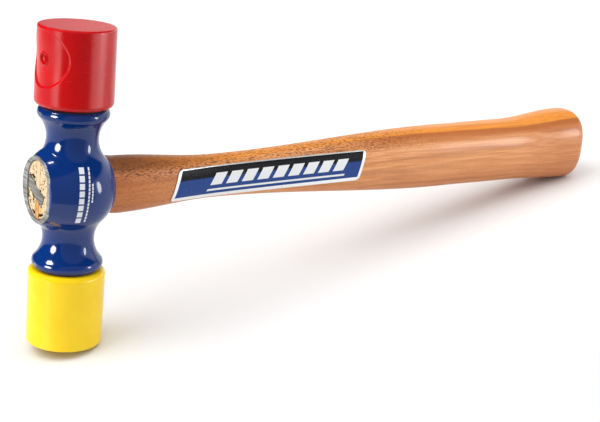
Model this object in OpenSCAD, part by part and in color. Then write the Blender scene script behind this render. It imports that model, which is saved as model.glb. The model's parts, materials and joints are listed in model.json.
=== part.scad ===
// Soft face hammer: a painted steel head with two screwed plastic tips, wedged on a wooden handle.
// It stands as it is put down: on the rim of the lower tip and on the butt of the handle.
// Pieces are drawn in the tool's own frame, with the eye's middle at the origin, the handle along
// +X and the head along Z, and one last turn sets the whole tool on the ground.

/* [Head] */
// Length of the steel head along its own axis
head_length = 67; // [60:0.5:76]
// Diameter of the ball in the middle of the head
ball_d = 37.6; // [35:0.2:40]
// Diameter of each neck at its narrowest
neck_d = 21.2; // [19.5:0.1:23]
// Diameter of the lip under each tip
lip_d = 29.2; // [27:0.1:31]
// Radius of the bead that rounds the lip
lip_round = 3; // [1.8:0.1:3.4]
// Depth of the bead's middle below the end face
lip_depth = 2.2; // [1:0.1:2.6]
// Distance from the head's axis to the ground face around the eye
eye_face_x = 14.8; // [14.2:0.1:16.4]
// Diameter of the ground face around the eye
eye_face_d = 27.2; // [26:0.1:28]
// Distance from the head's axis to the face that the handle's shoulder seats on
back_face_x = 14.4; // [13:0.1:16]

/* [Eye] */
// Height of the eye at its waist, along the head
eye_height = 21.6; // [19:0.1:22.4]
// Width of the eye at its waist, across the head
eye_width = 15.9; // [14:0.1:17.5]
// How far each wall of the eye flares out at the ground face
eye_face_flare = 1.4; // [0.4:0.1:1.6]
// How far each wall of the eye flares out at the handle's face
eye_back_flare = 0.4; // [0.2:0.1:0.8]
// Gap between the tenon and the walls of the eye
eye_gap = 0.1; // [0.05:0.01:0.2]

/* [Tips] */
// Diameter of a tip where it meets the head
tip_d = 32; // [30:0.5:36]
// Diameter of a tip at its striking face
tip_face_d = 31.4; // [29:0.1:36]
// Height of a tip
tip_height = 32; // [27:0.5:38]
// Radius of the edge around the striking face
tip_face_round = 0.9; // [0.4:0.1:2]
// Radius of the edge around the base
tip_base_round = 2; // [1:0.1:3]
// Diameter of the shallow round recess on the side of a tip
recess_d = 23.2; // [16:0.1:26]
// Depth of the recess
recess_depth = 0.7; // [0.3:0.1:1.2]
// Height of the recess's middle above the base of the tip
recess_height = 19.5; // [14:0.1:22]
// Outer diameter of the moulded ring in the middle of the recess
ring_d = 5.6; // [4:0.1:8]
// Width of the ring's wall
ring_wall = 1.1; // [0.6:0.1:1.6]
// How far the ring stands out of the recess
ring_height = 0.4; // [0.2:0.1:0.7]
// Direction that the recess of the red tip faces, around the head
red_recess_angle = 190; // [0:1:359]
// Direction that the recess of the yellow tip faces, around the head
yellow_recess_angle = 40; // [0:1:359]

/* [Studs and washers] */
// Outside diameter of a stud's thread
thread_d = 12.7; // [10:0.1:14]
// Rise of the thread in one turn
thread_pitch = 1.95; // [1.5:0.05:2.5]
// Depth of the thread
thread_depth = 1.05; // [0.6:0.05:1.3]
// Length of stud that stands out of a tip
stud_length = 14; // [10:0.5:17]
// Gap between the thread's crest and its hole
thread_gap = 0.3; // [0.2:0.05:0.5]
// Room below the stud in its hole
hole_room = 1.5; // [0.5:0.1:3]
// Width across the flats of the hexagon moulded into a tip
anchor_width = 18; // [16:0.5:21]
// Height of the hexagon
anchor_height = 6; // [4:0.5:9]
// Depth of the hexagon below the base of the tip
anchor_depth = 7; // [4:0.5:10]
// Gap between the stud and the plastic moulded around it
moulding_gap = 0.05; // [0.02:0.01:0.1]
// Diameter of the washer between a tip and the head
washer_d = 25; // [20:0.5:27]
// Thickness of the washer
washer_t = 0.8; // [0.4:0.1:1.5]
// Gap between a washer and the faces that it is clamped between
seat_gap = 0.05; // [0.02:0.01:0.1]

/* [Wedges] */
// Thickness of the wooden wedge at the ground face
wood_wedge_t = 3; // [2:0.1:4]
// Thickness of the wooden wedge at its thin edge
wood_wedge_edge = 0.9; // [0.5:0.1:1.5]
// Depth of the wooden wedge in the tenon
wood_wedge_depth = 22; // [19:0.5:25]
// Thickness of the steel wedge at its head
steel_wedge_t = 5; // [3:0.1:5.6]
// Thickness of the steel wedge at its thin edge
steel_wedge_edge = 0.8; // [0.5:0.1:1.5]
// Depth of the steel wedge in the tenon
steel_wedge_depth = 17; // [12:0.5:18.5]
// Length of the steel wedge across the eye
steel_wedge_length = 15; // [11:0.1:17]
// How far the middle of the steel wedge lies to one side of the middle of the eye
steel_wedge_side = 2.2; // [0:0.1:3]
// How far the middle of the steel wedge lies below the middle of the eye
steel_wedge_drop = 0.9; // [0:0.1:2]
// Wood left between the ends of the steel wedge and the eye's wall
steel_wedge_margin = 0.5; // [0.4:0.1:2]
// Angle of the steel wedge to the width of the eye
steel_wedge_angle = 24; // [0:1:40]
// Number of barbs on each broad side of the steel wedge
barb_count = 5; // [2:1:8]
// Height of a barb
barb_height = 0.25; // [0.1:0.05:0.35]
// Gap between a wedge and the wood around it
wedge_gap = 0.05; // [0.02:0.01:0.1]
// How far the tenon and the wedges stop short of the ground face
tenon_inset = 0.5; // [0.1:0.1:1]

/* [Handle] */
// Distance from the head's axis to the end of the butt
handle_reach = 289; // [250:1:380]
// How far the shoulder of the handle stands out around the eye
shoulder_step = 0.8; // [0.5:0.1:2]
// Gap between the shoulder and the head
shoulder_gap = 0.1; // [0.05:0.01:0.2]
// Distance from the head's axis to the swell behind the shoulder
swell_x = 20; // [17:0.5:30]
// Height of the handle at the swell
swell_height = 23.8; // [21:0.1:28]
// Width of the handle at the swell
swell_width = 18.6; // [16:0.1:24]
// Distance from the head's axis to the waist
waist_x = 66; // [55:0.5:80]
// Height of the handle at the waist
waist_height = 18.6; // [17.4:0.1:24]
// Width of the handle at the waist
waist_width = 14.5; // [13:0.1:20]
// Length of the even part of the grip
grip_length = 42; // [15:0.5:60]
// Height of the grip where it starts
grip_height = 29.8; // [26:0.1:34]
// Width of the grip where it starts
grip_width = 23.2; // [20:0.1:28]
// How much taller and wider the grip is at its other end
grip_growth = 0.7; // [0:0.1:2]
// Length over which the grip widens into the butt
flare_length = 43; // [30:0.5:60]
// Height of the butt at its widest
butt_height = 35.5; // [31:0.1:42]
// Width of the butt at its widest
butt_width = 27.7; // [24:0.1:34]
// Length of the domed end beyond the widest place
butt_length = 8; // [5:0.5:20]
// How far the middle of the handle lies below the middle of the eye
handle_drop = 0.5; // [0:0.1:1.5]
// How far the middle of the butt lies above the middle of the eye
butt_lift = 0.5; // [0:0.1:1.5]
// Squareness of the handle's section, where 2 is an ellipse
section_power = 2.6; // [2:0.1:3.5]
// Squareness of the domed end, where 2 is an ellipse
butt_power = 2.6; // [2:0.1:3.5]

/* [Label] */
// Distance from the head's axis to the label's middle
label_x = 93.9; // [80:0.1:110]
// Height of the label's middle above the middle of the eye
label_z = -0.3; // [-1:0.1:1]
// Length of the label
label_length = 98.5; // [60:0.5:110]
// Height of the label
label_height = 13.9; // [10:0.1:14.4]
// How far the top of the label is shifted along the handle
label_lean = 3.8; // [0:0.1:6]
// Rise of the label's right end over its left end
label_rise = 2.6; // [0:0.1:3]
// Radius of the label's corners
label_round = 2; // [1:0.1:3]
// Thickness of the label
label_t = 0.3; // [0.2:0.05:0.6]
// Gap between the label and the handle
label_gap = 0.08; // [0.05:0.01:0.15]

/* [Hidden] */

// Number of sides that a true round is drawn with
round_sides = 64;
// How far a cut runs past the solid that it cuts, and a joined solid into its neighbour
overlap = 1;

// Head
head_half = head_length / 2;
ball_r = ball_d / 2;
neck_r = neck_d / 2;
lip_r = lip_d / 2;
eye_face_r = eye_face_d / 2;
bead_x = lip_r - lip_round;
bead_z = head_half - lip_depth;
// Halvings that settle the neck's arc, which is never rounder than the head is long
arc_steps = 40;
arc_r = neck_arc(0, head_length, arc_steps);
arc_x = neck_r + arc_r;
arc_z = neck_rise(arc_r);
// Where the boss's flank leaves the ball, seen from the eye's axis
boss_reach = norm([eye_face_x, eye_face_r]);
boss_angle = atan2(eye_face_r, eye_face_x) + acos(min(1, ball_r / boss_reach));
boss_x = ball_r * cos(boss_angle);
boss_r = ball_r * sin(boss_angle);

// Eye and tenon
eye_r = eye_width / 2;
eye_lift = (eye_height - eye_width) / 2;
tenon_start = tenon_inset - eye_face_x;
shoulder_x = back_face_x + shoulder_gap;
tenon_root = 3 * overlap;

// Tips, each drawn on its base with its face up
tip_z = head_half + washer_t + 2 * seat_gap;
tip_side = [tip_face_d / 2 - tip_d / 2, tip_height];
tip_lean = atan2(-tip_side.x, tip_side.y);
thread_r = thread_d / 2;
hole_r = thread_r + thread_gap;
hole_depth = stud_length - washer_t - 2 * seat_gap + hole_room;
hex_sides = 6;

// Thread: rings in one turn, and sides of a ring
thread_rings = 6;
thread_sides = 20;
thread_turns = stud_length / thread_pitch;

// Handle: control places along it, as distance from the head, half height, half width and middle
root_step = eye_back_flare + shoulder_step;
butt_x = handle_reach - butt_length;
grip_end_x = butt_x - flare_length;
grip_x = grip_end_x - grip_length;
handle_line = [
    [shoulder_x, eye_height / 2 + root_step, eye_r + root_step, 0],
    [swell_x, swell_height / 2, swell_width / 2, -handle_drop],
    [waist_x, waist_height / 2, waist_width / 2, -handle_drop],
    [grip_x, grip_height / 2, grip_width / 2, -handle_drop],
    [grip_end_x, (grip_height + grip_growth) / 2, (grip_width + grip_growth) / 2, -handle_drop],
    [butt_x, butt_height / 2, butt_width / 2, butt_lift]
];
// Sections between one control place and the next, and sections and angle of the dome
section_steps = [2, 9, 14, 3, 8];
dome_steps = 9;
dome_end = 85;
section_sides = 40;
handle_sections = concat(
    [
        for (i = [0 : len(section_steps) - 1], j = [0 : section_steps[i] - 1])
            let (from = handle_line[i].x, to = handle_line[i + 1].x)
            handle_section(from + (to - from) * j / section_steps[i])
    ],
    [for (j = [0 : dome_steps]) dome_section(dome_end * j / dome_steps)]
);
handle_points = [for (s = handle_sections, i = [0 : section_sides - 1]) section_point(s, i)];

// Label: columns along it, and steps round each corner
label_columns = 28;
corner_steps = 4;
middle_steps = 5;
label_tilt = asin(label_rise / label_length);
label_rows = concat(
    [for (i = [0 : corner_steps]) corner_row(90 * i / corner_steps, -1)],
    [for (i = [1 : middle_steps - 1]) [(label_height / 2 - label_round) * (2 * i / middle_steps - 1), 0]],
    [for (i = [corner_steps : -1 : 0]) corner_row(90 * i / corner_steps, 1)]
);

// Standing on the ground: the tilt that brings a tip's rim and the handle down together
rim = [tip_face_d / 2 - tip_face_round, tip_face_round - tip_z - tip_height];
rest_tilt = min([for (s = handle_sections) ground_angle([s.x, s[3] - s[1]] - rim)]);
rest_low = tip_face_round + rim.x * sin(rest_tilt) - rim.y * cos(rest_tilt);
rest_left = -rim.x * cos(rest_tilt) + rim.y * sin(rest_tilt) - tip_face_round;
rest_right = max([for (p = handle_points) p.x * cos(rest_tilt) + p.z * sin(rest_tilt)]);

// Height of the neck's arc centre, for an arc of radius r that leaves the ball smoothly
function neck_rise(r) = sqrt((ball_r - neck_r) * (ball_r + neck_r + 2 * r));

// Height from there to the middle of a bead that the same arc runs into smoothly
function lip_rise(r) = sqrt((lip_r - neck_r) * max(0, 2 * (r + lip_round) + neck_r - lip_r));

// Radius of the arc that joins the ball and the bead, by halving the range that it lies in
function neck_arc(low, high, steps) =
    let (middle = (low + high) / 2)
    steps == 0 ? middle :
    neck_rise(middle) + lip_rise(middle) < bead_z ? neck_arc(middle, high, steps - 1) :
    neck_arc(low, middle, steps - 1);

// An eased step from 0 to 1
function eased(f) = f * f * (3 - 2 * f);

// Index of the stretch of handle_line that holds x
function stretch(x, i = 0) = i == len(handle_line) - 2 || x < handle_line[i + 1].x ? i : stretch(x, i + 1);

// Section of the handle at x, as its place, half height, half width and middle
function handle_section(x) =
    let (a = handle_line[stretch(x)], b = handle_line[stretch(x) + 1], f = eased((x - a.x) / (b.x - a.x)))
    [x, a[1] + (b[1] - a[1]) * f, a[2] + (b[2] - a[2]) * f, a[3] + (b[3] - a[3]) * f];

// Section of the domed end, at an angle from its widest place
function dome_section(a) =
    let (k = pow(cos(a), 2 / butt_power))
    [butt_x + butt_length * pow(sin(a), 2 / butt_power), butt_height / 2 * k, butt_width / 2 * k, butt_lift];

// A power that keeps its sign
function signed_pow(v, p) = sign(v) * pow(abs(v), p);

// Point of a section, counted round from the bottom
function section_point(s, i) =
    let (a = 360 * i / section_sides - 90)
    [
        s.x,
        s[2] * signed_pow(cos(a), 2 / section_power),
        s[1] * signed_pow(sin(a), 2 / section_power) + s[3]
    ];

// Triangles of a closed skin over rings of points, with its ends closed by strips
function skin(rings, sides) = concat(
    [
        for (i = [0 : rings - 2], j = [0 : sides - 1], half = [0, 1])
            let (a = i * sides + j, b = i * sides + (j + 1) % sides)
            half == 0 ? [a, a + sides, b + sides] : [a, b + sides, b]
    ],
    [for (k = [0 : sides / 2 - 2], half = [0, 1]) cap_face(0, k, half, sides)],
    [for (k = [0 : sides / 2 - 2], half = [0, 1]) reversed(cap_face((rings - 1) * sides, k, half, sides))]
);
function cap_face(first, k, half, sides) =
    half == 0 ? [first + k, first + k + 1, first + sides - 2 - k] :
    [first + k, first + sides - 2 - k, first + sides - 1 - k];
function reversed(f) = [f[2], f[1], f[0]];

// Share of the thread's depth at a height on the stud and an angle around it, easing in at its end
function thread_crest(z, a) = (1 + cos(360 * z / thread_pitch - a)) / 2 * min(1, z / thread_pitch);

// Row of the label inside a rounded corner: its height, and how far its ends draw in
function corner_row(a, side) = [
    side * (label_height / 2 - label_round * (1 - cos(a))),
    label_round * (1 - sin(a))
];

// Point of the label, along it and on a row, at a distance outside the handle
function label_point(along, row, out) =
    let (
        u = along * (label_length / 2 - row[1]) + label_lean * row[0] / label_height,
        x = label_x + u * cos(label_tilt) - row[0] * sin(label_tilt),
        z = label_z + u * sin(label_tilt) + row[0] * cos(label_tilt),
        s = handle_section(x),
        share = pow(abs(z - s[3]) / (s[1] + out), section_power)
    )
    [x, -(s[2] + out) * pow(1 - share, 1 / section_power), z];

// Tilt that brings a point, given from the rim's middle, down to the ground with the rim
function ground_angle(p) = atan2(p.y, p.x) + asin(tip_face_round / norm(p));

// Sets the tool on the ground, in the middle of the space that it takes up
module stand() {
    translate([-(rest_left + rest_right) / 2, 0, rest_low])
        rotate([0, rest_tilt, 0])
            children();
}

// Puts a piece drawn on a tip's base at the upper end of the head
module at_top() {
    translate([0, 0, tip_z])
        children();
}

// Puts the same piece at the lower end, turned over and not mirrored, so threads keep their hand
module at_bottom() {
    rotate([180, 0, 0])
        at_top()
            children();
}

// Upper lip and neck of the head's half profile, with the arc meeting the ball and bead smoothly
module lip_and_neck() {
    translate([bead_x, bead_z])
        circle(r = lip_round, $fn = round_sides);
    translate([0, bead_z])
        square([bead_x, lip_depth]);
    difference() {
        polygon([[0, 0], [arc_x, arc_z], [bead_x, bead_z], [0, bead_z]]);
        translate([arc_x, arc_z])
            circle(r = arc_r, $fn = round_sides);
    }
}

module head_blank() {
    rotate_extrude($fn = round_sides)
        intersection() {
            translate([0, -head_half])
                square([max(ball_r, lip_r) + overlap, head_length]);
            union() {
                circle(r = ball_r, $fn = round_sides);
                lip_and_neck();
                mirror([0, 1])
                    lip_and_neck();
            }
        }
    if (boss_reach > ball_r)
        translate([-eye_face_x, 0, 0])
            rotate([0, 90, 0])
                cylinder(h = eye_face_x - boss_x, r1 = eye_face_r, r2 = boss_r, $fn = round_sides);
}

// Cuts the ball flat at one side of the eye
module face_cut(x) {
    translate([x, -ball_r, -arc_z])
        cube([ball_r, ball_d, 2 * arc_z]);
}

// One taper of the eye or tenon along +X, drawn in on all sides by a gap
module eye_taper(start, end, flare_start, flare_end, gap) {
    r1 = eye_r + flare_start - gap;
    r2 = eye_r + flare_end - gap;
    for (side = [-1, 1])
        translate([start, 0, side * eye_lift])
            rotate([0, 90, 0])
                cylinder(h = end - start, r1 = r1, r2 = r2, $fn = round_sides);
    translate([0, 0, -eye_lift])
        linear_extrude(2 * eye_lift)
            polygon([[start, -r1], [end, -r2], [end, r2], [start, r1]]);
}

// Flare of the eye's wall at a place along it, past its faces too
function eye_flare(x) = x < 0 ? -x / eye_face_x * eye_face_flare : x / back_face_x * eye_back_flare;

// Solid that fills the eye between two places, drawn in by a gap
module eye_solid(start, end, gap) {
    eye_taper(start, 0, eye_flare(start), 0, gap);
    eye_taper(0, end, 0, eye_flare(end), gap);
}

// Tapered plate from the tenon's end inwards, wider than the tenon, grown by a gap
module wood_wedge_plate(gap) {
    h1 = wood_wedge_t / 2 + gap;
    h2 = wood_wedge_edge / 2 + gap;
    end = tenon_start + wood_wedge_depth + gap;
    translate([0, 0, -eye_height])
        linear_extrude(2 * eye_height)
            polygon([[tenon_start, -h1], [end, -h2], [end, h2], [tenon_start, h1]]);
}

// Turns a profile drawn along the depth of the eye and across the steel wedge into a plate, whose
// ends stop short of the eye's wall
module steel_wedge_plate(gap) {
    intersection() {
        translate([0, steel_wedge_side, -steel_wedge_drop])
            rotate([steel_wedge_angle - 90, 0, 0])
                translate([0, 0, -steel_wedge_length / 2 - gap])
                    linear_extrude(steel_wedge_length + 2 * gap)
                        children();
        eye_solid(tenon_start - overlap, back_face_x, eye_gap + steel_wedge_margin - gap);
    }
}

// Slot for the steel wedge
module steel_wedge_slot() {
    h1 = steel_wedge_t / 2 + wedge_gap;
    h2 = steel_wedge_edge / 2 + wedge_gap;
    end = tenon_start + steel_wedge_depth + wedge_gap;
    steel_wedge_plate(wedge_gap) {
        polygon([[tenon_start, -h1], [end, -h2], [end, h2], [tenon_start, h1]]);
        translate([tenon_start - overlap, -h1])
            square([overlap, 2 * h1]);
    }
}

// Edge of the barbed wedge from its head to its thin edge: each barb widens towards the head
function barbed_edge() = [
    for (i = [0 : barb_count - 1], low = [0, 1])
        let (f = (i + low) / barb_count)
        [
            tenon_start + steel_wedge_depth * f,
            (steel_wedge_t + (steel_wedge_edge - steel_wedge_t) * f) / 2 - low * barb_height
        ]
];

module head() {
    color("royalblue")
        stand()
            difference() {
                head_blank();
                face_cut(-eye_face_x - ball_r);
                face_cut(back_face_x);
                eye_solid(-eye_face_x - overlap, back_face_x + overlap, 0);
                for (side = [0, 180])
                    rotate([side, 0, 0])
                        translate([0, 0, head_half - hole_depth])
                            cylinder(h = hole_depth + overlap, r = hole_r, $fn = round_sides);
            }
}

module handle() {
    color("peru")
        stand()
            difference() {
                union() {
                    eye_solid(tenon_start, back_face_x + tenon_root, eye_gap);
                    polyhedron(handle_points, skin(len(handle_sections), section_sides));
                }
                wood_wedge_plate(wedge_gap);
                steel_wedge_slot();
            }
}

module wooden_wedge() {
    color("burlywood")
        stand()
            difference() {
                intersection() {
                    eye_solid(tenon_start, back_face_x, eye_gap);
                    wood_wedge_plate(0);
                }
                steel_wedge_slot();
            }
}

module steel_wedge() {
    upper = barbed_edge();
    lower = [for (i = [len(upper) - 1 : -1 : 0]) [upper[i].x, -upper[i].y]];
    color("slategray")
        stand()
            steel_wedge_plate(0)
                polygon(concat(upper, lower));
}

// Side view of a tip's half, with its edges rounded into its leaning side
module tip_profile() {
    face_r = tip_face_round;
    base_r = tip_base_round;
    side_out = [cos(tip_lean), sin(tip_lean)];
    face_x = tip_side_x(tip_height - face_r) - face_r / cos(tip_lean);
    base_x = tip_side_x(base_r) - base_r / cos(tip_lean);
    face_c = [face_x, tip_height - face_r];
    base_c = [base_x, base_r];
    polygon([
        [0, 0],
        [base_x, 0],
        base_c + base_r * side_out,
        face_c + face_r * side_out,
        [face_x, tip_height],
        [0, tip_height]
    ]);
    translate(face_c)
        circle(r = face_r, $fn = round_sides);
    translate(base_c)
        circle(r = base_r, $fn = round_sides);
}

// Radius of a tip's leaning side at a height above its base
function tip_side_x(z) = tip_d / 2 + tip_side.x * z / tip_height;

// Core of a tip, a depth below its side
module tip_core(depth) {
    cylinder(h = tip_height, r1 = tip_d / 2 - depth, r2 = tip_face_d / 2 - depth, $fn = round_sides);
}

// Round bar that points out of a tip's side through the middle of its recess
module recess_bar(d) {
    translate([0, 0, recess_height])
        rotate([0, 90, 0])
            cylinder(h = tip_d, d = d, $fn = round_sides);
}

// Tip on its base, with its recess turned to an angle, hollow where its stud is moulded in
module tip(recess_angle) {
    difference() {
        rotate_extrude($fn = round_sides)
            tip_profile();
        rotate([0, 0, recess_angle])
            difference() {
                recess_bar(recess_d);
                tip_core(recess_depth);
                intersection() {
                    difference() {
                        recess_bar(ring_d);
                        recess_bar(ring_d - 2 * ring_wall);
                    }
                    tip_core(recess_depth - ring_height);
                }
            }
        stud_body(moulding_gap);
    }
}

// The part of a stud that is moulded into its tip, grown by a gap
module stud_body(gap) {
    translate([0, 0, -overlap])
        cylinder(h = anchor_depth + 2 * overlap, r = thread_r + gap, $fn = round_sides);
    corner_r = anchor_width / 2 / cos(180 / hex_sides);
    translate([0, 0, anchor_depth - gap])
        cylinder(h = anchor_height + 2 * gap, r = corner_r + gap, $fn = hex_sides);
}

// Threaded stud of a tip, with the tip's base at zero
module stud() {
    rings = ceil(thread_turns * thread_rings);
    points = [
        for (i = [0 : rings], j = [0 : thread_sides - 1])
            let (
                z = stud_length * i / rings,
                a = 360 * j / thread_sides,
                r = thread_r - thread_depth * (1 - thread_crest(z, a))
            )
            [r * cos(a), r * sin(a), z - stud_length]
    ];
    polyhedron(points, skin(rings + 1, thread_sides));
    stud_body(0);
}

// Flat ring around a stud, clamped between its tip and the head
module washer() {
    translate([0, 0, -seat_gap - washer_t])
        difference() {
            cylinder(h = washer_t, d = washer_d, $fn = round_sides);
            translate([0, 0, -overlap])
                cylinder(h = washer_t + 2 * overlap, r = hole_r, $fn = round_sides);
        }
}

module red_tip() {
    color("red")
        stand()
            at_top()
                tip(red_recess_angle);
}

module red_tip_stud() {
    color("silver")
        stand()
            at_top()
                stud();
}

module red_tip_washer() {
    color("dimgray")
        stand()
            at_top()
                washer();
}

module yellow_tip() {
    color("gold")
        stand()
            at_bottom()
                tip(-yellow_recess_angle);
}

module yellow_tip_stud() {
    color("silver")
        stand()
            at_bottom()
                stud();
}

module yellow_tip_washer() {
    color("dimgray")
        stand()
            at_bottom()
                washer();
}

module handle_label() {
    rows = len(label_rows);
    points = [
        for (i = [0 : label_columns], j = [0 : 2 * rows - 1])
            label_point(
                2 * i / label_columns - 1,
                label_rows[j < rows ? j : 2 * rows - 1 - j],
                j < rows ? label_gap + label_t : label_gap
            )
    ];
    color("navy")
        stand()
            polyhedron(points, skin(label_columns + 1, 2 * rows));
}

head();
handle();
wooden_wedge();
steel_wedge();
red_tip();
red_tip_stud();
red_tip_washer();
yellow_tip();
yellow_tip_stud();
yellow_tip_washer();
handle_label();
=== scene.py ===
# %% [markdown]
# A soft face hammer, dressed over its own engineering model.
# The engineering model already has every piece at its real size, so this lesson only adds what a
# camera sees: rounded edges, paint, wood, foil and moulded plastic. It is loaded first and never
# moved, and every piece made here is laid over it in the same frame, in metres.

# %% Load the frame
import json
import math

import bmesh
import bpy
from mathutils import Matrix, Vector


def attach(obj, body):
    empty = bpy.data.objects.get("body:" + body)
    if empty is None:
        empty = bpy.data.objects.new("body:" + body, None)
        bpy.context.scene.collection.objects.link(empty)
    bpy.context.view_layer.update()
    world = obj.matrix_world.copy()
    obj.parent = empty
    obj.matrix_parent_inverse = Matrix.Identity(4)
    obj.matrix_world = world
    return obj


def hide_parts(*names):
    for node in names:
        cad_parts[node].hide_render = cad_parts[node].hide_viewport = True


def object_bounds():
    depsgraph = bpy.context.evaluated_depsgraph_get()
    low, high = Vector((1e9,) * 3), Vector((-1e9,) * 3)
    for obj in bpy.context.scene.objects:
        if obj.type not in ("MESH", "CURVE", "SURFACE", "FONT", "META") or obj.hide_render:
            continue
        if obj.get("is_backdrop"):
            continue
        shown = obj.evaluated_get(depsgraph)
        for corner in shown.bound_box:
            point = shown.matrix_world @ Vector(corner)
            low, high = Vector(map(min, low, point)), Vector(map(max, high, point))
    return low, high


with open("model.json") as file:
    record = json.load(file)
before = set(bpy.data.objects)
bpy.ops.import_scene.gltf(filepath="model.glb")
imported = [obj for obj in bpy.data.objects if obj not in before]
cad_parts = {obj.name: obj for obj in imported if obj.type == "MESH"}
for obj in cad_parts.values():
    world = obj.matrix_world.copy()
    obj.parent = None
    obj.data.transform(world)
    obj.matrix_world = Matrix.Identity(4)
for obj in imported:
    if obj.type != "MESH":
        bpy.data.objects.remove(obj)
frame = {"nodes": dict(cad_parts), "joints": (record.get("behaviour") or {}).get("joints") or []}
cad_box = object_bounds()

# %% [markdown]
# The hammer stands with one tip's rim and its butt on the ground, so it leans. Its maker thinks in
# the tool's own frame instead: the middle of the eye is zero, X runs down the handle, Z runs up
# through the tips, in millimetres. The screw axis of the red tip tells where that frame is, and
# one matrix carries points from there to the ground.

# %% The tool's own frame
MM = 0.001
screw = next(joint for joint in frame["joints"] if joint["name"] == "red_tip_screw")
ORIGIN = Vector(screw["pos_m"])
UP = Vector(screw["axis"]).normalized()
TILT = math.atan2(UP.x, UP.z)
TOOL = Matrix.Translation(ORIGIN) @ Matrix.Rotation(TILT, 4, "Y") @ Matrix.Diagonal((MM, MM, MM, 1))
print("lean:", round(math.degrees(TILT), 3), "degrees")

# %% [markdown]
# Shaders and Geometry Nodes are both trees of nodes. Placing them by hand takes a long list of
# lines, so a socket is wrapped in a small class that Python arithmetic can use: `1 - mask * 0.5`
# adds its Math nodes by itself. A second class stands for the tree and adds any other node from
# its type, its settings and what goes into its sockets.

# %% A socket that takes part in arithmetic
OPERATIONS = {"add": "ADD", "sub": "SUBTRACT", "mul": "MULTIPLY", "truediv": "DIVIDE", "pow": "POWER"}


class Field:
    """One output of a node, usable in Python expressions."""

    def __init__(self, sheet, socket):
        self.sheet = sheet
        self.socket = socket

    def out(self, name):
        return Field(self.sheet, self.socket.node.outputs[name])


def arithmetic(operation, reflected):
    def combine(own, other):
        pair = (other, own) if reflected else (own, other)
        return own.sheet.math(operation, *pair)
    return combine


for word, operation in OPERATIONS.items():
    setattr(Field, f"__{word}__", arithmetic(operation, False))
    setattr(Field, f"__r{word}__", arithmetic(operation, True))


# %% A tree of nodes
class Sheet:
    """A node tree that is written as expressions."""

    def __init__(self, tree):
        self.tree = tree

    def node(self, kind, settings=None, sockets=None, out=0):
        """Adds a node, sets or links its sockets, and gives one of its outputs."""
        made = self.tree.nodes.new(kind)
        for name, value in (settings or {}).items():
            setattr(made, name, value)
        for name, value in (sockets or {}).items():
            socket = made.inputs[name]
            for link in value if isinstance(value, list) else [value]:
                if isinstance(link, Field):
                    self.tree.links.new(link.socket, socket)
                elif socket.type == "RGBA" and len(link) == 3:
                    socket.default_value = (*link, 1)
                else:
                    socket.default_value = link
        return Field(self, made.outputs[out]) if made.outputs else None

    def math(self, operation, *values):
        return self.node("ShaderNodeMath", {"operation": operation}, dict(enumerate(values)))

    def split(self, vector):
        parts = self.node("ShaderNodeSeparateXYZ", sockets={0: vector})
        return parts, parts.out("Y"), parts.out("Z")

    def join(self, x, y, z):
        return self.node("ShaderNodeCombineXYZ", sockets={0: x, 1: y, 2: z})

    def ease(self, value, start, end, low=0.0, high=1.0):
        """A soft step: low up to start, high past end, in whichever order they come."""
        if start > end:
            start, end, low, high = end, start, high, low
        sockets = {"Value": value, "From Min": start, "From Max": end, "To Min": low, "To Max": high}
        return self.node("ShaderNodeMapRange", {"interpolation_type": "SMOOTHSTEP"}, sockets)


print("operators:", sorted(OPERATIONS))

# %% [markdown]
# A finish is a material whose colour, gloss and bumps all come from formulas of the place on the
# piece. `tool_mm` turns the object's coordinates back into the tool's millimetres, so a grain line
# or a scratch can be given its real size. Colours go through Mix nodes, because a Math node would
# turn them grey.

# %% Helpers for finishes
class Finish(Sheet):
    """A procedural material."""

    def __init__(self, name):
        self.material = bpy.data.materials.new(name)
        self.material.use_nodes = True
        self.material.node_tree.nodes.clear()
        super().__init__(self.material.node_tree)

    def tool_mm(self):
        """Place on the piece in the tool's own frame, in millimetres."""
        place = self.node("ShaderNodeTexCoord").out("Object")
        back = Matrix.Rotation(-TILT, 3, "Y") @ ORIGIN / MM
        sockets = {"Vector": place, "Location": -back, "Rotation": (0, -TILT, 0), "Scale": (1 / MM,) * 3}
        return self.node("ShaderNodeMapping", {"vector_type": "POINT"}, sockets)

    def stretch(self, vector, x, y, z):
        sockets = {"Vector": vector, "Scale": (x, y, z)}
        return self.node("ShaderNodeMapping", {"vector_type": "POINT"}, sockets)

    def noise(self, vector, scale=1.0, detail=2.0, roughness=0.5):
        sockets = {"Vector": vector, "Scale": scale, "Detail": detail, "Roughness": roughness}
        return self.node("ShaderNodeTexNoise", sockets=sockets)

    def cells(self, vector, scale=1.0):
        return self.node("ShaderNodeTexVoronoi", sockets={"Vector": vector, "Scale": scale})

    def mix(self, factor, first, second):
        return self.node("ShaderNodeMix", {"data_type": "RGBA"}, {0: factor, 6: first, 7: second}, 2)

    def bump(self, height, depth_mm, strength=1.0):
        sockets = {"Height": height, "Distance": depth_mm * MM, "Strength": strength}
        return self.node("ShaderNodeBump", sockets=sockets)

    def surface(self, sockets):
        shader = self.node("ShaderNodeBsdfPrincipled", sockets=sockets)
        self.node("ShaderNodeOutputMaterial", sockets={"Surface": shader})
        return self.material


print("finish helpers ready")

# %% [markdown]
# The head is forged steel under a thick coat of deep blue enamel. The face around the eye was
# ground after painting, so it is bare, with grinding lines across it, and the enamel is ragged
# where the grinder stopped. One material holds both: a mask says where the paint is left. The
# cheek carries rows of plain white blocks, stamped on like a tally.

# %% Enamel and ground steel of the head
EYE_FACE_X = 14.8
BLUE = (0.001, 0.025, 0.158)
BARE_STEEL = (0.42, 0.41, 0.39)
STEEL_SHADE = (0.17, 0.165, 0.15)
PRINT_WHITE = (0.74, 0.77, 0.82)
SCUFF_BROWN = (0.20, 0.10, 0.05)
BALL_R = 18.8
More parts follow.
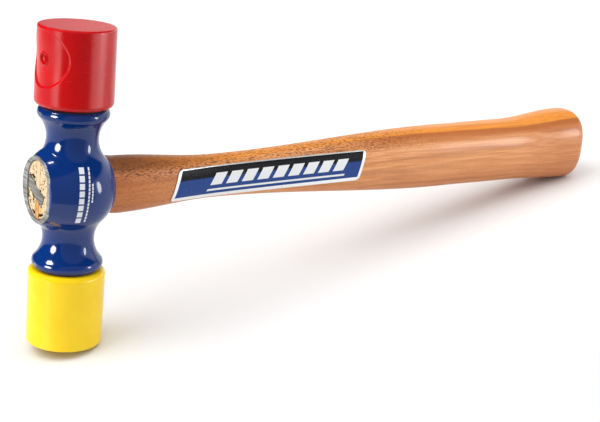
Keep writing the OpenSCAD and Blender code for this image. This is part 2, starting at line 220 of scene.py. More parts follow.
# Rows of blocks on the cheek: place along the eye, slant, bend, half width, lowest place, pitch, count
CHEEK_ROWS = [
    (-2.2, 0.04, -1.7, 1.1, -10.4, 2.9, 8),
    (0.5, 0.055, -1.5, 0.42, -10.0, 1.5, 15),
    (0.9, 0.055, -0.4, 0.4, -1.3, 1.3, 6),
]
BLOCK_SHARE = 0.8
# A point of the brown streak, as along the eye and up, its slope, and where along the eye it ends
SCUFF_LINE = (-12.7, -11.2, -0.42)
SCUFF_ENDS = (-13.4, -8.4)


def cheek_blocks(sheet, x, y, z):
    """Mask of the white blocks on the side of the ball that the label is on."""
    rows = 0
    for place, slant, bend, half, low, pitch, count in CHEEK_ROWS:
        bow = (1 - (z / BALL_R) ** 2) * bend
        across = sheet.math("ABSOLUTE", x - (z * slant + bow + place))
        along = sheet.math("FRACT", (z - low) / pitch)
        bar = sheet.ease(across, half, half - 0.15)
        bar = bar * sheet.ease(along, BLOCK_SHARE + 0.02, BLOCK_SHARE - 0.02)
        high = low + (count - 0.1) * pitch
        reach = sheet.ease(z, low - 0.05, low + 0.05) * sheet.ease(z, high + 0.05, high - 0.05)
        rows = bar * reach + rows
    return rows * sheet.ease(y, -6, -7)


def scuff_mark(sheet, x, y, z, wander):
    """Mask of one brown streak below the eye, where the paint was rubbed through."""
    start_x, start_z, slope = SCUFF_LINE
    line = z - start_z - (x - start_x) * slope + (wander - 0.5) * 1.6
    streak = sheet.ease(sheet.math("ABSOLUTE", line), 1.0, 0.2)
    first, last = SCUFF_ENDS
    return streak * sheet.ease(x, first, first + 1) * sheet.ease(x, last, last - 1.2) * sheet.ease(y, -5, -7)


def head_finish():
    sheet = Finish("blue_enamel_and_ground_steel")
    mm = sheet.tool_mm()
    x, y, z = sheet.split(mm)
    wander = sheet.noise(mm, 0.55, 3)
    peel = sheet.noise(mm, 0.75, 2)
    lines = sheet.noise(sheet.stretch(mm, 1, 0.05, 2.1), 1, 4)
    land = sheet.ease(x + (wander - 0.5) * 0.5, -EYE_FACE_X + 0.32, -EYE_FACE_X + 0.12)
    lap = sheet.ease(y + (wander - 0.5) * 2.0, -11.9, -11.5)
    chips = sheet.ease(sheet.noise(mm, 1.7, 3), 0.70, 0.72) * sheet.ease(x, -13.6, -14.4)
    chips = chips * sheet.ease(sheet.math("ABSOLUTE", z), 17, 16)
    bare = sheet.math("MAXIMUM", land * lap, chips)
    dust = sheet.ease(sheet.noise(mm, 2.4, 4), 0.60, 0.78)
    scuff = scuff_mark(sheet, x, y, z, wander)
    paint = sheet.mix(wander * 0.35, BLUE, tuple(value * 0.7 for value in BLUE))
    paint = sheet.mix(scuff * 0.8, paint, SCUFF_BROWN)
    paint = sheet.mix(cheek_blocks(sheet, x, y, z) * (0.96 - dust * 0.25), paint, PRINT_WHITE)
    steel = sheet.mix(sheet.ease(lines, 0.38, 0.62), STEEL_SHADE, BARE_STEEL)
    return sheet.surface({
        "Base Color": sheet.mix(bare, paint, steel),
        "Metallic": bare * 0.85,
        "Roughness": (0.10 + dust * 0.04 + scuff * 0.3) * (1 - bare) + bare * (0.36 + lines * 0.2),
        "Normal": sheet.bump(peel * 0.10 * (1 - bare) + lines * bare * 0.35 - bare * 0.4, 0.12),
        "Specular IOR Level": 0.4,
        "Coat Weight": (1 - bare) * 0.1,
        "Coat Roughness": 0.05,
    })


def machined_finish():
    sheet = Finish("machined_steel")
    mm = sheet.tool_mm()
    marks = sheet.noise(sheet.stretch(mm, 0.3, 0.3, 3.0), 1.2, 3)
    return sheet.surface({
        "Base Color": sheet.mix(marks, (0.16, 0.15, 0.14), (0.36, 0.35, 0.33)),
        "Metallic": 0.9,
        "Roughness": 0.35 + marks * 0.25,
        "Normal": sheet.bump(marks, 0.05),
    })


HEAD_PAINT = head_finish()
MACHINED = machined_finish()
print("head finishes:", HEAD_PAINT.name, MACHINED.name)

# %% [markdown]
# Shapes are worked out as points in the tool's millimetres. Two helpers turn them into pieces: one
# joins a list of rings of points into a skin, and one moves the finished mesh into the shared
# frame, turns its faces outwards and marks its hard edges.

# %% Helpers for meshes
def add_ring(bm, ring, points, kind=0):
    """Adds a ring of points and, if there is a ring before it, the band of faces that joins them."""
    made = [bm.verts.new(point) for point in points]
    for i, vertex in enumerate(made if ring else []):
        band = bm.faces.new((ring[i - 1], ring[i], vertex, made[i - 1]))
        band.material_index = kind
    return made


def close_ring(bm, ring, pole, kind=0):
    """Closes a ring with a fan of triangles around a point."""
    middle = bm.verts.new(pole)
    for i in range(len(ring)):
        bm.faces.new((ring[i - 1], ring[i], middle)).material_index = kind


def finish_mesh(mesh, bm, sharp=35):
    """Sets a piece drawn in the tool's millimetres into the shared frame, in metres."""
    bmesh.ops.recalc_face_normals(bm, faces=bm.faces)
    open_edges = sum(not edge.is_manifold for edge in bm.edges)
    bm.to_mesh(mesh)
    bm.free()
    mesh.transform(TOOL)
    mesh.shade_smooth()
    mesh.set_sharp_from_angle(angle=math.radians(sharp))
    print(mesh.name, "faces:", len(mesh.polygons), "open edges:", open_edges)


def new_piece(name, bm, materials, sharp=35):
    mesh = bpy.data.meshes.new(name)
    for material in materials:
        mesh.materials.append(material)
    finish_mesh(mesh, bm, sharp)
    piece = bpy.data.objects.new(name, mesh)
    bpy.context.scene.collection.objects.link(piece)
    return piece


def dress(piece, body, slot, *nodes):
    """Lets a piece ride on its body and stand for its engineering nodes; its slot is not used."""
    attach(piece, body)
    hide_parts(*nodes)


def smooth(value, start, end):
    share = min(1.0, max(0.0, (value - start) / (end - start)))
    return share * share * (3 - 2 * share)


def arc(centre, radius, start, end, steps):
    """Points of an arc in a half profile, as radius and height, with angles in degrees."""
    angles = [math.radians(start + (end - start) * i / steps) for i in range(steps + 1)]
    return [(centre[0] + radius * math.cos(a), centre[1] + radius * math.sin(a)) for a in angles]


# %% [markdown]
# The head could be lathe work alone, if it were not for the boss around its eye: a blunt cone that
# leaves the ball on one side and runs softly into both necks. So its radius is worked out for each
# direction and height, as the larger of the lathe profile and the cone, with a soft join. Two flat
# cuts then open it for the eye, whose wall is a stadium that narrows towards the middle.

# %% Sizes of the head
HEAD_HALF = 33.5
NECK_R = 10.6
LIP_R = 14.6
LIP_ROUND = 3.0
LIP_DEPTH = 2.2
EYE_FACE_R = 13.6
BACK_FACE_X = 14.4
EYE_R = 7.95
EYE_LIFT = 2.85
FACE_FLARE = 1.4
BACK_FLARE = 0.4
BORE_R = 6.65
BORE_DEPTH = 14.6
HEAD_COLUMNS = 232
HEAD_TURNS = [2 * math.pi * i / HEAD_COLUMNS for i in range(HEAD_COLUMNS)]
EDGE_ROUND = 0.28
# Where the middle point of a rounded edge lies, as a share of its rounding
BEVEL_SHARE = 0.3
# Bevel at the mouth of each tapped hole, and how far inside the lip the end face has its ring of points
MOUTH_BEVEL = 0.6
END_FACE_INSET = 4.0
# Height up to which the flat cuts reach, which leaves the lips whole
CUT_REACH = 21.0


def neck_centre():
    """Radius and middle of the arc that runs from the ball into the bead of the lip, by halving."""
    bead = (LIP_R - LIP_ROUND, HEAD_HALF - LIP_DEPTH)
    low, high = 0.0, 2 * HEAD_HALF
    for _ in range(40):
        r = (low + high) / 2
        rise = math.sqrt((BALL_R - NECK_R) * (BALL_R + NECK_R + 2 * r))
        rest = math.sqrt((LIP_R - NECK_R) * max(0.0, 2 * (r + LIP_ROUND) + NECK_R - LIP_R))
        low, high = (r, high) if rise + rest < bead[1] else (low, r)
    return r, (NECK_R + r, rise), bead


def head_profile():
    """Upper half of the lathe profile, from the middle of the ball to the end of the lip."""
    neck_r, neck, bead = neck_centre()
    leave = math.degrees(math.atan2(neck[1], neck[0]))
    meet = math.degrees(math.atan2(bead[1] - neck[1], bead[0] - neck[0]))
    end = math.degrees(math.asin(LIP_DEPTH / LIP_ROUND))
    ball = arc((0, 0), BALL_R, 0, leave, 30)
    neck_points = arc(neck, neck_r, 180 + leave, meet, 44)
    return ball + neck_points[1:] + arc(bead, LIP_ROUND, meet - 180, end, 18)[1:]


# %% Shape of the head
BOSS_ANGLE = math.atan2(EYE_FACE_R, EYE_FACE_X) + math.acos(BALL_R / math.hypot(EYE_FACE_X, EYE_FACE_R))
BOSS_X = BALL_R * math.cos(BOSS_ANGLE)
BOSS_SLOPE = 1 / math.tan(BOSS_ANGLE)
BOSS_APEX_R = BALL_R / math.sin(BOSS_ANGLE)
JOIN_WIDTH = 3.6


def boss_radius(turn, z):
    """Distance from the head's axis to the boss's flank, and how far out along the eye that is."""
    c, s = -math.cos(turn), math.sin(turn)
    if c <= 0.2 or abs(z) >= BOSS_APEX_R:
        return 0.0, 0.0
    a = s * s - (BOSS_SLOPE * c) ** 2
    b = 2 * BOSS_APEX_R * BOSS_SLOPE * c
    gap = z * z - BOSS_APEX_R ** 2
    root = b * b - 4 * a * gap
    radius = -2 * gap / (b + math.sqrt(max(0.0, root)))
    return radius, radius * c


def head_radius(turn, radius, z):
    """Larger of the lathe profile and the boss, joined softly where the boss runs into a neck."""
    boss, reach = boss_radius(turn, z)
    if reach < BOSS_X:
        return radius
    width = JOIN_WIDTH * smooth(abs(z), 10, 14) * smooth(reach, BOSS_X, BOSS_X + 2) + 1e-6
    share = max(0.0, min(1.0, 0.5 + (boss - radius) / (2 * width)))
    return radius + (boss - radius) * share + width * share * (1 - share)


def stadium(turn, flare):
    """Point of the eye's outline in a direction around its axis, as across and up."""
    r = EYE_R + flare
    c, s = math.cos(turn), math.sin(turn)
    reach = r / max(abs(c), 1e-9)
    if reach * abs(s) > EYE_LIFT:
        reach = EYE_LIFT * abs(s) + math.sqrt(r * r - (EYE_LIFT * c) ** 2)
    return reach * c, reach * s


def eye_flare(x):
    return -x / EYE_FACE_X * FACE_FLARE if x < 0 else x / BACK_FACE_X * BACK_FLARE


# %% Cuts and rims of the head
def cut_flat(bm, x, side):
    """Cuts the skin at a place along the eye and returns the rim, in order around the eye."""
    faces = [face for face in bm.faces if max(abs(vertex.co.z) for vertex in face.verts) < CUT_REACH]
    edges = {edge for face in faces for edge in face.edges}
    geometry = faces + list(edges) + list({vertex for edge in edges for vertex in edge.verts})
    bmesh.ops.bisect_plane(bm, geom=geometry, plane_co=(x, 0, 0), plane_no=(side, 0, 0), clear_outer=True)
    rim = [vertex for vertex in bm.verts if vertex.is_boundary and abs(vertex.co.x - x) < 1e-4]
    return sorted(rim, key=lambda vertex: math.atan2(vertex.co.z, vertex.co.y))


def rim_points(rim, x, draw_in):
    """The same rim at another place along the eye, drawn in towards the eye's axis."""
    points = []
    for vertex in rim:
        reach = math.hypot(vertex.co.y, vertex.co.z)
        scale = (reach - draw_in) / reach
        points.append((x, vertex.co.y * scale, vertex.co.z * scale))
    return points


def eye_points(rim, x, flare):
    turns = [math.atan2(vertex.co.z, vertex.co.y) for vertex in rim]
    return [(x, *stadium(turn, flare)) for turn in turns]


def land_points(rim, x, share, flare):
    """Points of the flat land between the outer rim and the eye."""
    outer = rim_points(rim, x, EDGE_ROUND)
    inner = eye_points(rim, x, flare)
    return [tuple(a + (b - a) * share for a, b in zip(p, q)) for p, q in zip(outer, inner)]


def turned_rings(bm, profile):
    """Skin over a half profile, turned around the head's axis and swollen by the boss."""
    ring = None
    for radius, z in profile:
        reaches = [head_radius(turn, radius, z) for turn in HEAD_TURNS]
        points = [(r * math.cos(t), r * math.sin(t), z) for r, t in zip(reaches, HEAD_TURNS)]
        ring = add_ring(bm, ring, points)
        yield ring


def bore(bm, ring, side):
    """End face and tapped hole at one end of the head."""
    bottom = HEAD_HALF - BORE_DEPTH
    mouth = (BORE_R + MOUTH_BEVEL, HEAD_HALF)
    steps = [(LIP_R - END_FACE_INSET, HEAD_HALF), mouth, (BORE_R, HEAD_HALF - MOUTH_BEVEL), (BORE_R, bottom)]
    for radius, z in steps:
        points = [(radius * math.cos(t), radius * math.sin(t), side * z) for t in HEAD_TURNS]
        ring = add_ring(bm, ring, points, 1)
    close_ring(bm, ring, (0, 0, side * bottom), 1)


def make_head():
    bm = bmesh.new()
    upper = head_profile()
    profile = [(r, -z) for r, z in reversed(upper[1:])] + upper
    rings = list(turned_rings(bm, profile))
    bore(bm, rings[0], -1)
    bore(bm, rings[-1], 1)
    front = cut_flat(bm, -EYE_FACE_X + EDGE_ROUND, -1)
    back = cut_flat(bm, BACK_FACE_X - EDGE_ROUND, 1)
    bevel = EDGE_ROUND * BEVEL_SHARE
    ring = add_ring(bm, front, rim_points(front, -EYE_FACE_X + bevel, bevel))
    for share in (0, 0.25, 0.5, 0.75, 1):
        ring = add_ring(bm, ring, land_points(front, -EYE_FACE_X, share, FACE_FLARE + EDGE_ROUND))
    ring = add_ring(bm, ring, eye_points(front, -EYE_FACE_X + bevel, FACE_FLARE + bevel))
    for x in (-EYE_FACE_X + EDGE_ROUND, -10, 0, BACK_FACE_X):
        ring = add_ring(bm, ring, eye_points(front, x, eye_flare(x)), 1)
    rim = add_ring(bm, back, rim_points(back, BACK_FACE_X - bevel, bevel))
    rim = add_ring(bm, rim, rim_points(back, BACK_FACE_X, EDGE_ROUND))
    loops = [bm.edges.get((loop[i - 1], loop[i])) for loop in (ring, rim) for i in range(len(loop))]
    bmesh.ops.bridge_loops(bm, edges=loops)
    return new_piece("painted_head", bm, [HEAD_PAINT, MACHINED])


head = make_head()
dress(head, "hammer", "head_paint", "head")

# %% [markdown]
# The two tips are moulded from tough plastic, one red and one yellow, with a satin skin that has
# faint flow marks, fine scratches and a few pale specks. Their colour runs deep, so light that
# enters comes back saturated, and a little subsurface scattering gives that. One function makes
# both finishes.

# %% Plastic of the tips
RED = (0.53, 0.001, 0.002)
RED_DEEP = (0.48, 0.001, 0.004)
RED_SPECK = (0.75, 0.30, 0.28)
YELLOW = (0.84, 0.58, 0.008)
YELLOW_DEEP = (0.82, 0.54, 0.005)
YELLOW_SPECK = (0.78, 0.42, 0.02)


def plastic_finish(name, colour, deep, speck, gloss):
    sheet = Finish(name)
    mm = sheet.tool_mm()
    cloud = sheet.noise(mm, 0.10, 2)
    flow = sheet.noise(sheet.stretch(mm, 1, 1, 0.25), 0.35, 3)
    grain = sheet.noise(mm, 5, 2)
    scratch = sheet.ease(sheet.noise(sheet.stretch(mm, 0.4, 0.4, 6), 0.7, 2), 0.69, 0.72)
    dots = sheet.ease(sheet.cells(mm, 0.42), 0.11, 0.07) * sheet.ease(sheet.noise(mm, 0.21, 1), 0.64, 0.70)
    base = sheet.mix(sheet.ease(cloud, 0.35, 0.7), colour, deep)
    base = sheet.mix(dots * 0.7 + scratch * 0.05, base, speck)
    return sheet.surface({
        "Base Color": base,
        "Roughness": gloss + flow * 0.06 + scratch * 0.12,
        "Normal": sheet.bump(flow * 0.2 + grain * 0.08 - scratch * 0.08 + dots * 0.4, 0.10),
        "Specular IOR Level": 0.3,
        "Subsurface Weight": 0.1,
        "Subsurface Radius": (0.004, 0.001, 0.001),
        "Subsurface Scale": 0.5,
    })


RED_PLASTIC = plastic_finish("red_moulded_plastic", RED, RED_DEEP, RED_SPECK, 0.20)
YELLOW_PLASTIC = plastic_finish("yellow_moulded_plastic", YELLOW, YELLOW_DEEP, YELLOW_SPECK, 0.12)
print("plastics:", RED_PLASTIC.name, YELLOW_PLASTIC.name)

# %% [markdown]
# Each tip is a short barrel, a little narrower at its face, with a round shallow thumb recess in
# its side and a raised ring in the middle of that. A grid of points wrapped around the barrel
# carries them as true relief: the columns crowd together where the recess is, and each point is
# sunk by a formula of its distance from the recess's middle. The stud's hexagon sits in a pocket.

# %% Sizes of the tips
TIP_Z = 34.4
TIP_HEIGHT = 32.0
TIP_R = 16.0
TIP_FACE_R = 15.7
FACE_ROUND = 0.9
BASE_ROUND = 2.0
RECESS_R = 11.6
RECESS_WALL = 0.7
RECESS_DEPTH = 0.7
RECESS_HEIGHT = 19.5
# Directions of the two recesses around the head's axis
RED_RECESS = math.radians(190)
YELLOW_RECESS = math.radians(-40)
RING_R = 2.8
RING_WALL = 0.8
RING_SOFT = 0.25
RING_HEIGHT = 0.42
# Groove inside the ring, around a middle that is left standing
GROOVE_R = 0.9
GROOVE_DEPTH = 0.7
# Heights above the recess's middle between which its floor rises to the barrel's side
SCOOP = (-5.0, 10.0)
THREAD_R = 6.35
ANCHOR_DEPTH = 7.0
ANCHOR_HEIGHT = 6.0
ANCHOR_HALF = 9.0
MOULDING_GAP = 0.05
SIDE_STEP = 0.22
# Columns near the recess and elsewhere, and the angle that the crowded ones fill on either side
RECESS_COLUMNS = 190
PLAIN_COLUMNS = 96
RECESS_SPREAD = math.radians(52)


def hexagon_reach(turn, half):
    """Distance from a hexagon's middle to its edge in a direction."""
    return half / math.cos(turn % (math.pi / 3) - math.pi / 6)


def tip_turns():
    """Angles of the columns from the middle of the recess, crowded near it."""
    near = [RECESS_SPREAD * (2 * i / RECESS_COLUMNS - 1) for i in range(RECESS_COLUMNS)]
    rest = 2 * (math.pi - RECESS_SPREAD)
    return near + [RECESS_SPREAD + rest * i / PLAIN_COLUMNS for i in range(PLAIN_COLUMNS)]


def tip_relief(turn, radius, z):
    """How far a point of the side lies below the plain barrel."""
    if math.cos(turn) <= 0:
        return 0.0
    q = math.hypot(radius * math.sin(turn), z - RECESS_HEIGHT)
    scoop = 1 - 0.9 * smooth(z - RECESS_HEIGHT, *SCOOP)
    sunk = RECESS_DEPTH * scoop * (1 - smooth(q, RECESS_R - RECESS_WALL, RECESS_R))
    inner = RING_R - RING_WALL
    raised = smooth(q, inner, inner + RING_SOFT) * (1 - smooth(q, RING_R - RING_SOFT, RING_R))
    groove = smooth(q, GROOVE_R, GROOVE_R + RING_SOFT) * (1 - smooth(q, inner - RING_SOFT, inner))
    return sunk - RING_HEIGHT * raised + GROOVE_DEPTH * groove


# %% Shape of the tips
def tip_side(z):
    """Radius of the barrel's leaning side at a height."""
    return TIP_R + (TIP_FACE_R - TIP_R) * z / TIP_HEIGHT


def tip_profile():
    """Half profile from the base's edge to the face's edge, with its leaning side in small steps."""
    lean = math.atan2(TIP_R - TIP_FACE_R, TIP_HEIGHT)
    base = (tip_side(BASE_ROUND) - BASE_ROUND / math.cos(lean), BASE_ROUND)
    face = (tip_side(TIP_HEIGHT - FACE_ROUND) - FACE_ROUND / math.cos(lean), TIP_HEIGHT - FACE_ROUND)
    lower = arc(base, BASE_ROUND, -90, math.degrees(lean), 12)
    upper = arc(face, FACE_ROUND, math.degrees(lean), 90, 10)
    steps = round((upper[0][1] - lower[-1][1]) / SIDE_STEP)
    heights = [lower[-1][1] + (upper[0][1] - lower[-1][1]) * i / steps for i in range(1, steps)]
    return lower + [(tip_side(z), z) for z in heights] + upper


def make_tip(name, material, recess_turn, place):
    """A tip whose recess points in a direction, set on the head by place."""
    def point(r, turn, z):
        return place((r * math.cos(turn + recess_turn), r * math.sin(turn + recess_turn), z))

    bm = bmesh.new()
    turns = tip_turns()
    pocket = ANCHOR_HALF + MOULDING_GAP
    top = ANCHOR_DEPTH + ANCHOR_HEIGHT + MOULDING_GAP
    shank = THREAD_R + MOULDING_GAP
    hexagon = [hexagon_reach(turn + recess_turn, pocket) for turn in turns]
    first = ring = add_ring(bm, None, [point(r, t, top) for r, t in zip(hexagon, turns)])
    ring = add_ring(bm, ring, [point(r, t, ANCHOR_DEPTH - MOULDING_GAP) for r, t in zip(hexagon, turns)])
    for z in (ANCHOR_DEPTH - MOULDING_GAP, 0):
        ring = add_ring(bm, ring, [point(shank, t, z) for t in turns])
    for r, z in tip_profile():
        ring = add_ring(bm, ring, [point(r - tip_relief(t, r, z), t, z) for t in turns])
    for share in (0.8, 0.5, 0.2):
        ring = add_ring(bm, ring, [point(TIP_FACE_R * share, t, TIP_HEIGHT) for t in turns])
    close_ring(bm, ring, place((0, 0, TIP_HEIGHT)))
    close_ring(bm, first, place((0, 0, top)))
    return new_piece(name, bm, [material])


def at_top(p):
    return Vector((p[0], p[1], p[2] + TIP_Z))


def at_bottom(p):
    return Vector((p[0], -p[1], -p[2] - TIP_Z))


red_tip = make_tip("red_tip_moulding", RED_PLASTIC, RED_RECESS, at_top)
dress(red_tip, "red_tip", "red_plastic", "red_tip")
yellow_tip = make_tip("yellow_tip_moulding", YELLOW_PLASTIC, YELLOW_RECESS, at_bottom)
dress(yellow_tip, "yellow_tip", "yellow_plastic", "yellow_tip")

# %% [markdown]
# Geometry Nodes suit a shape that follows a rule. A recipe is a tree with named inputs for its
# sizes: it is run once with numbers for one piece, and the result is kept as a plain mesh with no
# modifier left on it. The same recipe can then be run again with other numbers.

# %% Helper for recipes
# Points closer than this become one
WELD = 0.001


class Recipe(Sheet):
    """A Geometry Nodes tree with named sizes."""

    def __init__(self, name, sizes):
        super().__init__(bpy.data.node_groups.new(name, "GeometryNodeTree"))
        face = self.tree.interface
        face.new_socket("Geometry", in_out="OUTPUT", socket_type="NodeSocketGeometry")
        entries = [face.new_socket(word, in_out="INPUT", socket_type="NodeSocketFloat") for word in sizes]
        self.keys = {word: entry.identifier for word, entry in zip(sizes, entries)}
        entry = self.tree.nodes.new("NodeGroupInput")
        self.size = {word: Field(self, entry.outputs[word]) for word in sizes}

    def grid(self, columns, rows):
        """A flat grid, with its column's share of a turn and its row's number as fields."""
        sockets = {"Size X": 1.0, "Size Y": 1.0, "Vertices X": columns + 1, "Vertices Y": rows}
        x, y, _ = self.split(self.node("GeometryNodeInputPosition"))
        return self.node("GeometryNodeMeshGrid", sockets=sockets), x + 0.5, (y + 0.5) * (rows - 1)

    def past(self, value, limit):
        return self.math("GREATER_THAN", value, limit)

    def ramp(self, value, start, end):
        sockets = {"Value": value, "From Min": start, "From Max": end}
        return self.node("ShaderNodeMapRange", sockets=sockets)

    def wrap(self, mesh, position, material):
        """Moves the grid's points, closes its seam and poles, and ends the tree."""
        shaped = self.node("GeometryNodeSetPosition", sockets={"Geometry": mesh, "Position": position})
        welded = self.node("GeometryNodeMergeByDistance", sockets={"Geometry": shaped, "Distance": WELD})
        dressed = self.node("GeometryNodeSetMaterial", sockets={"Geometry": welded, "Material": material})
        self.node("NodeGroupOutput", sockets={"Geometry": dressed})

    def run(self, sizes):
        """Runs the tree with these sizes and returns the mesh as a bmesh, in the tool's frame."""
        holder = bpy.data.objects.new(self.tree.name, bpy.data.meshes.new(self.tree.name))
        bpy.context.scene.collection.objects.link(holder)
        modifier = holder.modifiers.new(self.tree.name, "NODES")
        modifier.node_group = self.tree
        for word, value in sizes.items():
            modifier[self.keys[word]] = float(value)
        graph = bpy.context.evaluated_depsgraph_get()
        mesh = bpy.data.meshes.new_from_object(holder.evaluated_get(graph))
        bm = bmesh.new()
        bm.from_mesh(mesh)
        for face in bm.faces:
            face.material_index = 0
        holder.modifiers.clear()
        bpy.data.objects.remove(holder)
        return bm


print("recipes ready")

# %% [markdown]
# Inside each tip sits a zinc plated steel stud: a screw thread below the tip's base, a plain shank
# and a hexagon that keeps it from turning in the plastic. The thread is one grid rolled into a
# tube, whose radius rises and falls with the angle and the height together, which is all that a
# helix is. One recipe serves both studs.

# %% Zinc plated studs
STUD_LENGTH = 14.0
THREAD_PITCH = 1.95
THREAD_DEPTH = 1.05
STUD_COLUMNS = 96
THREAD_ROWS = 118
STUD_SIZES = {
    "Thread radius": THREAD_R,
    "Thread depth": THREAD_DEPTH,
    "Pitch": THREAD_PITCH,
    "Thread length": STUD_LENGTH,
    "Shank length": ANCHOR_DEPTH,
    "Hexagon half width": ANCHOR_HALF,
    "Hexagon height": ANCHOR_HEIGHT,
}


def zinc_finish():
    sheet = Finish("zinc_plated_steel")
    mm = sheet.tool_mm()
    spangle = sheet.noise(mm, 0.9, 3)
    rub = sheet.noise(sheet.stretch(mm, 0.5, 0.5, 4), 1, 3)
    return sheet.surface({
        "Base Color": sheet.mix(spangle, (0.42, 0.42, 0.40), (0.66, 0.65, 0.61)),
        "Metallic": 1.0,
        "Roughness": 0.24 + rub * 0.22,
        "Normal": sheet.bump(rub, 0.03),
    })


def stud_recipe(material):
    sheet = Recipe("threaded_stud", STUD_SIZES)
    size = sheet.size
    mesh, share, row = sheet.grid(STUD_COLUMNS, THREAD_ROWS + 5)
    turn = share * (2 * math.pi)
    climb = sheet.ramp(row, 1, THREAD_ROWS) * size["Thread length"]
    lead_in = sheet.math("MINIMUM", climb / size["Pitch"], 1.0)
    crest = (sheet.math("COSINE", climb / size["Pitch"] * (2 * math.pi) - turn) + 1) * 0.5 * lead_in
    thread = size["Thread radius"] - size["Thread depth"] * (1 - crest)
    corner = sheet.math("MODULO", turn, math.pi / 3) - math.pi / 6
    hexagon = size["Hexagon half width"] / sheet.math("COSINE", corner)
    shank = sheet.past(row, THREAD_ROWS + 0.5)
    nut = sheet.past(row, THREAD_ROWS + 1.5)
    top = sheet.past(row, THREAD_ROWS + 2.5)
    solid = sheet.past(row, 0.5) * (1 - sheet.past(row, THREAD_ROWS + 3.5))
    radius = (thread * (1 - shank) + size["Thread radius"] * (shank - nut) + hexagon * nut) * solid
    z = climb - size["Thread length"] + size["Shank length"] * shank + size["Hexagon height"] * top
    place = sheet.join(radius * sheet.math("COSINE", turn), radius * sheet.math("SINE", turn), z)
    sheet.wrap(mesh, place, material)
    return sheet


ZINC = zinc_finish()
stud = stud_recipe(ZINC)
for colour, place in (("red", at_top), ("yellow", at_bottom)):
    bm = stud.run(STUD_SIZES)
    for vertex in bm.verts:
        vertex.co = place(vertex.co)
    piece = new_piece(f"{colour}_threaded_stud", bm, [ZINC], sharp=50)
    dress(piece, f"{colour}_tip", "stud_steel", f"{colour}_tip_stud")

# %% [markdown]
# The handle is hickory, turned and sanded to an oval that thins to a waist and swells to the butt,
# then stained and lacquered. Wood is drawn as the tree grew it: year rings around a pith that lies
# outside the handle, seen as long lines on its sides, with dark open pores along them and fine
# fibres between. The lacquer is a clear coat, so the gloss stays even over rough grain.

# %% Lacquered hickory
PALE_WOOD = (0.80, 0.37, 0.155)
RICH_WOOD = (0.66, 0.25, 0.070)
ROSE_WOOD = (0.46, 0.165, 0.065)
# Late wood of the rings, also the colour of painted shade on the underside, at the butt and near the head
LATE_WOOD_AND_SHADE = (0.42, 0.11, 0.018)
AMBER_WOOD = (0.78, 0.275, 0.028)
# Dark stain with painted shade, near the head
STAIN_AND_SHADE_WOOD = (0.17, 0.050, 0.012)
PORE_WOOD = (0.07, 0.022, 0.008)
# Middle of the tree's rings, across and up from the handle's axis, and the width of a ring
PITH = (26.0, -70.0)
RING_WIDTH = 3.1
# Line where the amber crown meets the sides: where it starts to climb, its slope, its rise and its height
CROWN_LINE = (66, 0.055, 5.9, 7.0)
# Places along the handle between which the crown's edge grows crisp, and where painted shade darkens the
# butt
CRISP_EDGE = (110, 165)
PAINTED_BUTT_SHADE = (236, 274)


def wood_rings(sheet, mm, pith, width):
    """Share of a year's growth at each place, from 0 in spring to 1 in autumn."""
    _, y, z = sheet.split(mm)
    drift = sheet.noise(sheet.stretch(mm, 0.011, 0.035, 0.035), 1, 2)
    ripple = sheet.noise(sheet.stretch(mm, 0.02, 0.22, 0.22), 1, 3)
    reach = sheet.math("SQRT", (y - pith[0]) ** 2 + (z - pith[1]) ** 2)
    return sheet.math("FRACT", reach / width + drift * 3.0 + ripple * 0.5)


def above_crown(sheet, x, z, streak):
    """Height above the line where the handle's amber crown meets its paler sides."""
    start, slope, rise, height = CROWN_LINE
    line = sheet.math("MINIMUM", (x - start) * slope, rise)
    line = sheet.math("MAXIMUM", line, 0) + height + sheet.ease(x, 238, 285) * 2.6
    return z - line + (streak - 0.5) * 1.8


